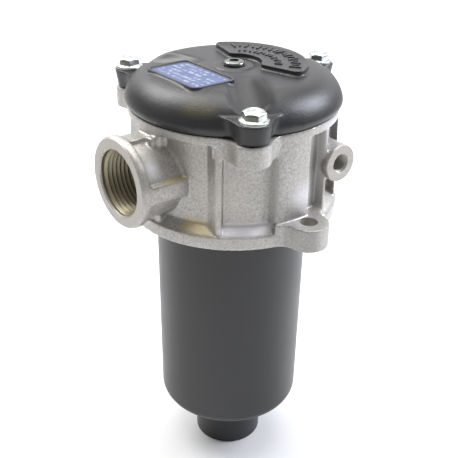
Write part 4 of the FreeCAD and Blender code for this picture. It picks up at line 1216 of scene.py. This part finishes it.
@dataclass
class Cover:
    """The moulded cover with its valleys, its arc plate and its label frame."""

    nodes: dict
    nylon: bpy.types.Material
    voxel: float = 0.00062
    smoothing: int = 3
    valley_smoothing: int = 9
    flank_smoothing: int = 24
    triangles: int = 150000
    top: float = 0.0750
    proud: float = 0.00008
    arc_rise: float = 0.0025
    arc_inner: float = 0.014
    arc_outer: float = 0.037
    arc_inner_angle: float = 60.0
    arc_outer_angle: float = 69.0
    arc_steps: int = 24
    arc_round: float = 0.0038
    arc_rim: float = 0.0014
    arc_recess: float = 0.0007
    arc_root: float = 0.004
    arc_clear: float = 0.001
    mark_rows: tuple[tuple[float, float, int, float], ...] = ((0.0308, 0.0060, 17, 52.0),
                                                              (0.0222, 0.0040, 13, 44.0))
    mark_shares: tuple[float, ...] = (1.0, 0.62, 0.85, 0.5)
    mark_turns: tuple[float, ...] = (0.0, 18.0, -14.0)
    mark_width: float = 0.0011
    mark_height: float = 0.0008
    mark_rise: float = 0.0002
    mark_edge: float = 0.00015
    label_centre: float = LABEL_CENTRE
    label_half_width: float = 0.01155
    label_half_length: float = 0.01955
    label_corner: float = 0.0032
    frame_width: float = 0.0012
    frame_rise: float = 0.0009
    frame_root: float = 0.003
    frame_field: float = 0.0001
    edge: float = 0.0003
    bolt_angles: tuple[float, ...] = BOLT_ANGLES
    valley_radius: float = 0.011
    valley_end: tuple[float, float] = (0.0470, 0.0515)
    valley_low: float = 0.0675
    valley_reach: tuple[float, float] = (0.0115, 0.0500)
    valley_side: tuple[float, float] = (-0.0165, 0.0130)
    flank_height: tuple[float, float] = (0.0585, 0.0668)
    flank_reach: float = 0.0495
    flank_side: tuple[float, float] = (0.0074, 0.0250)
    seat: float = BOLT_SEAT

    def from_lobe(self, point: Vector) -> tuple[float, float, float]:
        """A point's place about the nearest lobe.

        Args:
            point: a point of the cover's skin.

        Returns:
            Its angle about Z, its reach from Z and its distance sideways from the lobe's middle.
        """
        reach = math.hypot(point.x, point.y)
        angle = math.degrees(math.atan2(point.y, point.x))
        offs = [(angle - lobe + 180.0) % 360.0 - 180.0 for lobe in self.bolt_angles]
        return angle, reach, reach * math.sin(math.radians(min(offs, key=abs)))

    def in_valley(self, point: Vector) -> bool:
        """Whether a point lies in a valley, clear of the arc plate.

        Args:
            point: a point of the cover's skin.

        Returns:
            Whether it does.
        """
        angle, reach, side = self.from_lobe(point)
        if reach < self.arc_outer + self.arc_clear and abs(angle) < self.arc_outer_angle:
            return False
        return (point.z > self.valley_low and self.valley_reach[0] < reach < self.valley_reach[1]
                and self.valley_side[0] < side < self.valley_side[1])

    def beside_lobe(self, point: Vector) -> bool:
        """Whether a point lies where a lobe's side runs into the dome.

        Args:
            point: a point of the cover's skin.

        Returns:
            Whether it does.
        """
        _, reach, side = self.from_lobe(point)
        return (self.flank_height[0] < point.z < self.flank_height[1] and reach > self.flank_reach
                and self.flank_side[0] < abs(side) < self.flank_side[1])

    def valley_ends(self) -> list[bmesh.types.BMesh]:
        """Round tools that run each valley out level to the bolt's seat.

        Returns:
            One tool for each valley.
        """
        tools = []
        start, end = self.valley_end
        level = self.seat + self.valley_radius + self.proud
        for angle in self.bolt_angles:
            tool = Bench.cylinder(self.valley_radius, 0.0, end - start, 64, Axis.X,
                                  Vector((start, 0.0, level)))
            bmesh.ops.rotate(tool, verts=tool.verts, matrix=Matrix.Rotation(math.radians(angle), 3, "Z"))
            tools.append(tool)
        return tools

    def arc_plate(self) -> bmesh.types.BMesh:
        """The raised arc plate with a rim round its field.

        Returns:
            The plate's mesh.
        """
        corners = []
        for radius, half, way in ((self.arc_outer, self.arc_outer_angle, 1),
                                  (self.arc_inner, self.arc_inner_angle, -1)):
            for step in range(-self.arc_steps, self.arc_steps + 1):
                angle = math.radians(half * step * way / self.arc_steps)
                corners.append(Vector((radius * math.cos(angle), radius * math.sin(angle), 0.0)))
        outline = self.trimmed(corners, self.arc_round)
        return Bench.tray(outline, self.top - self.arc_root, self.top + self.arc_rise + self.proud,
                          self.arc_rim, self.top + self.arc_rise - self.arc_recess)

    @staticmethod
    def trimmed(points: Sequence[Vector], radius: float) -> list[Vector]:
        """An outline with long straight ends, whose sharp corners are made arcs.

        Args:
            points: the outline's points in order.
            radius: the arcs' radius.

        Returns:
            The points, without those that the arcs replace.
        """
        count = len(points)
        sharpest = math.radians(150.0)
        cleared = radius * 1.4
        sharp = []
        for index, point in enumerate(points):
            before = (points[index - 1] - point).normalized()
            after = (points[(index + 1) % count] - point).normalized()
            if before.angle(after) < sharpest:
                sharp.append(index)
        kept = [point for index, point in enumerate(points)
                if index in sharp or all((point - points[corner]).length > cleared for corner in sharp)]
        return Bench.soft_corners(kept, radius)

    def label_frame(self) -> bmesh.types.BMesh:
        """The raised frame round the label.

        Returns:
            The frame's mesh.
        """
        half_width = self.label_half_width + self.frame_width + self.proud
        half_length = self.label_half_length + self.frame_width + self.proud
        corners = [Vector((self.label_centre + half_width * x, half_length * y, 0.0))
                   for x, y in ((-1, -1), (1, -1), (1, 1), (-1, 1))]
        outline = Bench.soft_corners(corners, self.label_corner + self.frame_width)
        return Bench.tray(outline, self.top - self.frame_root, self.top + self.frame_rise + self.proud,
                          self.frame_width, self.top + self.frame_field)

    def marks(self) -> bmesh.types.BMesh:
        """Plain raised bars on the arc plate.

        Returns:
            The bars, in rows that each have a radius, a bar's length, a count and half an angle.
        """
        mesh = bmesh.new()
        level = self.top + self.arc_rise - self.arc_recess + self.mark_rise
        for radius, length, count, half in self.mark_rows:
            for step in range(count):
                angle = math.radians(-half + 2 * half * step / (count - 1))
                size = length * self.mark_shares[step % len(self.mark_shares)]
                turn = math.radians(self.mark_turns[step % len(self.mark_turns)])
                made = bmesh.ops.create_cube(mesh, size=1.0)
                place = (Matrix.Rotation(angle, 4, "Z")
                         @ Matrix.Translation((radius, 0.0, level))
                         @ Matrix.Rotation(turn, 4, "Z")
                         @ Matrix.Diagonal((size, self.mark_width, self.mark_height, 1.0)))
                bmesh.ops.transform(mesh, matrix=place, verts=made["verts"])
        bmesh.ops.bevel(mesh, geom=mesh.edges[:], offset=self.mark_edge, offset_type="OFFSET", segments=1,
                        profile=0.5, affect="EDGES", material=-1)
        return mesh

    def build(self) -> list[bpy.types.Object]:
        """Makes the cover, its arc plate with plain marks, and its label frame.

        Returns:
            The four pieces.
        """
        blank = Bench.piece("cover_blank", Bench.node_copy(self.nodes["cover"]), [])
        moulding = Bench.opened(Bench.cut(blank, self.valley_ends()))
        skin = Bench.soft_skin("cover_dome", moulding, self.voxel, self.smoothing, self.triangles,
                               ((self.in_valley, self.valley_smoothing),
                                (self.beside_lobe, self.flank_smoothing)))
        skin.data.materials.append(self.nylon)
        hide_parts("cover")
        pieces = [skin]
        for name, mesh in (("arc_plate", self.arc_plate()), ("label_frame", self.label_frame())):
            blank = Bench.piece(name + "_blank", mesh, [])
            data = Bench.rounded(blank, self.edge, 3)
            pieces.append(Bench.object_from(name, data, [self.nylon], sharp=40.0))
        pieces.append(Bench.piece("arc_plate_marks", self.marks(), [self.nylon]))
        for piece in pieces:
            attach(piece, HOUSING)
        return pieces


@dataclass
class Fasteners:
    """The three flanged bolts and the centre screw, with painted shade in a darker zinc on some faces."""

    zinc: bpy.types.Material
    painted_shade_zinc: bpy.types.Material
    button_zinc: bpy.types.Material
    seat: float = BOLT_SEAT
    reach: float = 0.0594
    angles: tuple[float, ...] = BOLT_ANGLES
    turns: tuple[float, ...] = (32.0, 29.0, 39.5)
    shaded: Point = (-0.83, -0.56, 0.0)
    painted_shade_bolts: tuple[int, ...] = (2, 3)
    facing: float = 0.8
    flange: float = 0.00705
    flange_top: float = 0.0021
    hex_flats: float = 0.010
    hex_foot: float = 0.0004
    hex_edge: float = 0.0002
    head: float = 0.0056
    crown: float = 0.0038
    crown_reach: float = 0.0060
    crown_depth: float = 0.0012
    crown_tool: float = 0.009
    tool_clear: float = 0.001
    dish: float = 0.0027
    dish_flare: float = 0.0004
    dish_depths: tuple[float, float] = (0.0004, 0.0003)
    shank: float = 0.0030
    length: float = 0.020
    tip: float = 0.0004
    collar_side: float = 0.0009
    collar_round: tuple[tuple[float, float], ...] = ((0.0002, 0.0012), (0.0009, 0.0014))
    collar_slope: tuple[float, float] = (0.0056, 0.0019)
    hex_root: float = 0.0050
    edge: float = 0.0001
    hub_top: float = 0.0759
    button: float = 0.00525
    button_height: float = 0.0020
    button_side: float = 0.0004
    button_flat: float = 0.0032
    button_steps: int = 8
    screw_length: float = 0.016
    socket_flats: float = 0.0048
    socket_depth: float = 0.0008
    socket_top: float = 0.0018
    socket_tool: float = 0.006

    def hexagon(self, flats: float, low: float, high: float) -> bmesh.types.BMesh:
        """A hexagonal prism about Z between two heights.

        Args:
            flats: its width across the flats.
            low: the height of its foot.
            high: the height of its top.

        Returns:
            The closed mesh.
        """
        mesh = bmesh.new()
        base = bmesh.ops.create_circle(mesh, cap_ends=True, segments=6, radius=flats / math.sqrt(3.0),
                                       matrix=Matrix.Translation((0.0, 0.0, low)))
        face = base["verts"][0].link_faces[0]
        raised = bmesh.ops.extrude_face_region(mesh, geom=[face])
        upper = [item for item in raised["geom"] if isinstance(item, bmesh.types.BMVert)]
        bmesh.ops.translate(mesh, verts=upper, vec=(0.0, 0.0, high - low))
        bmesh.ops.recalc_face_normals(mesh, faces=mesh.faces)
        return mesh

    def collar(self) -> Profile:
        """The outline of a bolt's shank and its sloped flange, with rounded edges.

        Returns:
            The outline.
        """
        outline = [(0.0, -self.length), (self.shank - self.tip, -self.length),
                   (self.shank, -self.length + self.tip), (self.shank, 0.0),
                   (self.flange - self.edge, 0.0), (self.flange, self.edge), (self.flange, self.collar_side)]
        outline += [(self.flange - inward, height) for inward, height in self.collar_round]
        return outline + [self.collar_slope, (self.hex_root, self.flange_top), (0.0, self.flange_top)]

    def bolt(self, number: int, angle: float, turn: float) -> bpy.types.Object:
        """One flanged bolt.

        Args:
            number: 1, 2 or 3.
            angle: where it stands about the cover, in degrees.
            turn: how far its hexagon is turned, in degrees.

        Returns:
            The bolt.
        """
        head = self.head
        above = head + self.tool_clear
        shoulder = head - self.crown_depth
        crown = Bench.turned([(self.crown, head), (self.crown_reach, shoulder), (self.crown_tool, shoulder),
                              (self.crown_tool, above), (self.crown, above)], 64)
        flare = self.dish + self.dish_flare
        dish = Bench.turned([(0.0, head - self.dish_depths[0]), (self.dish, head - self.dish_depths[1]),
                             (flare, head + self.edge), (flare, above), (0.0, above)], 48)
        blank = Bench.piece("hexagon_blank", self.hexagon(self.hex_flats, self.hex_foot, head), [])
        cut = Bench.object_from("hexagon_cut", Bench.cut(blank, [crown, dish]), [], sharp=30.0)
        mesh = Bench.opened(Bench.rounded(cut, self.hex_edge))
        Bench.join(mesh, Bench.turned(self.collar(), 64))
        place = (Matrix.Rotation(math.radians(angle), 4, "Z")
                 @ Matrix.Translation((self.reach, 0.0, self.seat))
                 @ Matrix.Rotation(math.radians(turn), 4, "Z"))
        bmesh.ops.transform(mesh, matrix=place, verts=mesh.verts)
        made = Bench.piece("flanged_bolt_%d" % number, mesh, [self.zinc, self.painted_shade_zinc], sharp=40.0)
        # Bolts 2 and 3 take the darker zinc on the faces above the flange that turn towards shaded: painted
        # shade.
        for face in made.data.polygons:
            is_shaded = face.normal.dot(Vector(self.shaded)) > self.facing
            if number in self.painted_shade_bolts and is_shaded and face.center.z > self.seat + self.flange_top:
                face.material_index = 1
        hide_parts("cover_bolt_%d" % number)
        return made

    def screw(self) -> bpy.types.Object:
        """The centre screw's low button head with its hexagon socket.

        Returns:
            The screw.
        """
        profile = [(0.0, -self.screw_length), (self.shank, -self.screw_length), (self.shank, 0.0),
                   (self.button - self.edge, 0.0), (self.button, self.edge)]
        for step in range(self.button_steps + 1):
            turn = step / self.button_steps * math.pi / 2
            profile.append((self.button - (self.button - self.button_flat) * (1 - math.cos(turn)),
                            self.button_side + (self.button_height - self.button_side) * math.sin(turn)))
        profile.append((0.0, self.button_height))
        blank = Bench.piece("screw_blank", Bench.turned(profile, 64), [])
        floor = self.button_height - self.socket_depth
        data = Bench.cut(blank, [self.hexagon(self.socket_flats, floor, self.socket_tool)])
        data.transform(Matrix.Translation((0.0, 0.0, self.hub_top)))
        made = Bench.object_from("button_screw", data, [self.button_zinc, self.painted_shade_zinc], sharp=30.0)
        # The socket's faces take the darker zinc: painted shade in the socket.
        for face in data.polygons:
            off_axis = math.hypot(face.center.x, face.center.y)
            is_inside = self.hub_top < face.center.z < self.hub_top + self.socket_top
            if off_axis < self.socket_flats * 0.5 and is_inside:
                face.material_index = 1
        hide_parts("centre_screw")
        return made

    def build(self) -> list[bpy.types.Object]:
        """Makes the three bolts and the centre screw.

        Returns:
            The four pieces.
        """
        pieces = [self.bolt(number, angle, turn)
                  for number, (angle, turn) in enumerate(zip(self.angles, self.turns), start=1)]
        pieces.append(self.screw())
        for piece in pieces:
            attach(piece, HOUSING)
        return pieces


@dataclass
class Bowl:
    """The tapered bowl with its outlet."""

    plastic: bpy.types.Material
    rim: float = 0.0462
    rim_top: float = 0.0130
    ledge: float = 0.0100
    top: float = 0.0410
    foot: float = 0.0404
    wall: float = 0.0025
    drop: float = 0.1260
    rounding: float = 0.0068
    outlet: float = 0.0196
    outlet_bore: float = 0.0160
    outlet_drop: float = 0.1580
    outlet_edge: float = 0.0008
    outlet_chamfer: float = 0.0003
    outlet_fillet: float = 0.001
    collar: float = 0.0075

    def build(self) -> list[bpy.types.Object]:
        """Spins the bowl's outline with a round at the foot and a fillet at the outlet.

        Returns:
            The bowl, as the only piece.
        """
        inner = self.foot - self.wall
        floor = self.wall - self.drop
        chamfer = self.outlet_chamfer
        fillet = self.outlet_fillet
        profile = [(self.outlet_bore, -self.outlet_drop + chamfer),
                   (self.outlet_bore + chamfer, -self.outlet_drop)]
        profile += self.corner(self.outlet - self.outlet_edge, -self.outlet_drop + self.outlet_edge,
                               self.outlet_edge, -90.0, 0.0, 4)
        profile += [(self.outlet, -self.drop - fillet), (self.outlet + chamfer, -self.drop - chamfer),
                    (self.outlet + fillet, -self.drop)]
        profile += self.corner(self.foot - self.rounding, -self.drop + self.rounding, self.rounding,
                               -90.0, 0.0, 10)
        profile += [(self.top, self.ledge), (self.rim, self.ledge), (self.rim, self.rim_top),
                    (self.top - self.wall, self.rim_top), (inner, -self.drop + self.rounding),
                    (self.foot - self.rounding, floor), (self.outlet, floor),
                    (self.outlet, floor + self.collar), (self.outlet_bore, floor + self.collar)]
        made = Bench.piece("bowl_shell", Bench.turned(profile, 128), [self.plastic], sharp=40.0)
        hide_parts("bowl")
        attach(made, HOUSING)
        return [made]

    @staticmethod
    def corner(x: float, z: float, radius: float, start: float, end: float,
               steps: int) -> list[tuple[float, float]]:
        """Points of a round corner.

        Args:
            x: the centre's distance from Z.
            z: its height.
            radius: the corner's radius.
            start: the angle of the first point, in degrees.
            end: the angle of the last one.
            steps: divisions of the corner.

        Returns:
            The points.
        """
        points = []
        for step in range(steps + 1):
            angle = math.radians(start + (end - start) * step / steps)
            points.append((x + radius * math.cos(angle), z + radius * math.sin(angle)))
        return points


@dataclass
class ValveSpring:
    """The bypass valve's spring, copied from its node."""

    nodes: dict
    wire: bpy.types.Material
    joint: str = "bypass_opening"
    travel: float = 0.004

    def build(self) -> list[bpy.types.Object]:
        """Makes the coil, which keeps its foot on the cage's floor.

        Returns:
            The coil, as the only piece.
        """
        coil = Bench.node_copy(self.nodes["bypass_spring"])
        made = Bench.piece("valve_coil", coil, [self.wire], sharp=40.0)
        heights = [vert.co.z for vert in made.data.vertices]
        foot, length = min(heights), max(heights) - min(heights)
        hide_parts("bypass_spring")
        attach(made, HOUSING)
        (length - self.travel) / length
        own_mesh(made)
        return [made]


@dataclass(frozen=True)
class SoftBox:
    """One soft light, aimed at the filter."""

    name: str
    place: Point
    size: tuple[float, float]
    power: float
    color: Point

    def hang(self, target: Point) -> None:
        """Hangs the light where it looks at a point.

        Args:
            target: the point.
        """
        data = bpy.data.lights.new(self.name, "AREA")
        data.shape = "RECTANGLE"
        data.size, data.size_y = self.size
        data.energy = self.power
        data.color = self.color
        made = bpy.data.objects.new(self.name, data)
        aim = Vector(target) - Vector(self.place)
        made.matrix_world = Matrix.Translation(self.place) @ aim.to_track_quat("-Z", "Y").to_matrix().to_4x4()
        bpy.context.scene.collection.objects.link(made)


@dataclass
class Studio:
    """The camera, the floor and the light."""

    camera_place: Point = (-0.23828, -0.29530, 0.18665)
    right: Point = (0.7851, -0.6192, 0.0149)
    up: Point = (0.2838, 0.3810, 0.8799)
    lens: float = 60.67
    floor_level: float = -0.1580
    floor_half: float = 4.0
    floor_color: Color = rgb(0.73, 0.73, 0.73)
    floor_roughness: float = 0.9
    surround: float = 0.38
    aim: Point = (0.0, 0.0, -0.02)
    lights: tuple[SoftBox, ...] = (
        SoftBox("backdrop", (1.10, 1.38, 0.75), (3.6, 1.5), 19.0, (0.97, 0.97, 1.0)),
        SoftBox("overhead", (0.10, 0.20, 1.25), (1.2, 1.2), 20.0, (1.0, 0.99, 0.97)),
        SoftBox("floor_wash", (-0.55, 1.45, 1.60), (1.2, 1.0), 46.0, (1.0, 1.0, 1.0)),
        SoftBox("right_fill", (0.805, -0.43, 0.615), (0.45, 0.5), 15.0, (0.86, 0.90, 1.0)),
    )

    def camera(self) -> None:
        """Stands the camera where the photograph was taken."""
        data = bpy.data.cameras.new("camera")
        data.sensor_width = 36.0
        data.lens = self.lens
        data.clip_start = 0.01
        made = bpy.data.objects.new("camera", data)
        right = Vector(self.right).normalized()
        up = Vector(self.up)
        up = (up - right * up.dot(right)).normalized()
        back = right.cross(up)
        turn = Matrix((right, up, back)).transposed().to_4x4()
        made.matrix_world = Matrix.Translation(self.camera_place) @ turn
        bpy.context.scene.collection.objects.link(made)
        bpy.context.scene.camera = made

    def floor(self) -> None:
        """Lays a plain pale floor under the outlet."""
        mesh = bmesh.new()
        bmesh.ops.create_grid(mesh, x_segments=8, y_segments=8, size=self.floor_half,
                              matrix=Matrix.Translation((0.0, 0.0, self.floor_level)))
        graph = Graph("studio_floor")
        graph.feed("Base Color", self.floor_color)
        graph.feed("Roughness", self.floor_roughness)
        made = Bench.piece("floor", mesh, [graph.material])

    def light(self) -> None:
        """Hangs the soft boxes and sets a white surround."""
        world = bpy.data.worlds.new("studio")
        world.use_nodes = True
        inputs = world.node_tree.nodes["Background"].inputs
        inputs["Color"].default_value = rgb(1.0, 1.0, 1.0)
        inputs["Strength"].default_value = self.surround
        bpy.context.scene.world = world
        bpy.context.scene.view_settings.view_transform = "Standard"
        for box in self.lights:
            box.hang(self.aim)

    def build(self) -> None:
        """Sets up everything round the object."""
        self.camera()
        self.floor()
        self.light()


@dataclass
class Insides:
    """Finishes for the nodes that keep their own shapes."""

    nodes: dict
    finishes: dict

    def build(self) -> None:
        """Gives each remaining node its material."""
        for name, material in self.finishes.items():
            node = self.nodes[name]
            node.data.materials.clear()
            node.data.materials.append(material)


def main() -> None:
    """Loads the frame, dresses every part of the filter and reports each piece."""
    logging.basicConfig(level=logging.INFO, format="%(name)s: %(message)s")
    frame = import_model()
    nodes = frame["nodes"]

    cast = CastSkin().material()
    machined = MachinedFace().material()
    # A darker, warmer copy of the machined finish for the inlet's bore and thread: painted shade and a
    # painted warm reflection.
    bore = MachinedFace("bore_painted_shade_and_reflection", rgb(0.38, 0.34, 0.235), rgb(0.19, 0.17, 0.12),
                        0.78).material()
    # A warm painted reflection on the cover's front-left shoulder.
    painted_reflection = PaintedLight((-0.0480, -0.0350, 0.0670), (-0.0370, -0.0210, 0.0712), 0.005, 1.0, rgb(0.052, 0.046, 0.019))
    nylon = Moulded("black_nylon_skin", rgb(0.006, 0.006, 0.007), rgb(0.014, 0.014, 0.015), 0.40,
                    grain_depth=0.00017, fold_angle=240.0, painted_reflection=painted_reflection).material()
    plastic = Moulded("charcoal_satin", rgb(0.008, 0.008, 0.009), rgb(0.013, 0.013, 0.014), 0.42,
                      grain_depth=0.00003).material()
    cap = Moulded("cap_plastic_skin", rgb(0.03, 0.03, 0.033), rgb(0.05, 0.05, 0.053), 0.5).material()
    rubber = Moulded("seal_rubber", rgb(0.012, 0.012, 0.012), rgb(0.022, 0.022, 0.022), 0.65).material()
    zinc = ZincPlate().material()
    # A darker copy of the zinc for faces in shade: painted shade.
    painted_shade_zinc = ZincPlate("zinc_plate_painted_shade", rgb(0.17, 0.18, 0.155), rgb(0.11, 0.115, 0.09)).material()
    button = ZincPlate("zinc_plate_button", rgb(0.19, 0.20, 0.195), rgb(0.15, 0.15, 0.145)).material()
    wire = Wire().material()

    Studio().build()
    pieces: list[bpy.types.Object] = []
    pieces += Head(nodes, cast, machined, bore).build()
    pieces += Cover(nodes, nylon).build()
    pieces += Fasteners(zinc, painted_shade_zinc, button).build()
    pieces += Bowl(plastic).build()
    pieces += ValveSpring(nodes, wire).build()
    Insides(nodes, {
        "label_plate": LabelFilm().material(),
        "cover_seal": rubber,
        "bowl_seal": rubber,
        "element_seal": rubber,
        "centre_ring": rubber,
        "spring_cup": zinc,
        "core_tube": zinc,
        "element_top_cap": cap,
        "element_bottom_cap": cap,
        "bypass_cage": cap,
        "bypass_poppet": cap,
        "pleated_media": PleatedGlass().material(),
        "hold_down_spring": wire,
        "element_handle": wire,
    }).build()
    for piece in pieces:
        LOG.info("%s: %d faces", piece.name, len(piece.data.polygons))


if __name__ == "__main__":
    main()
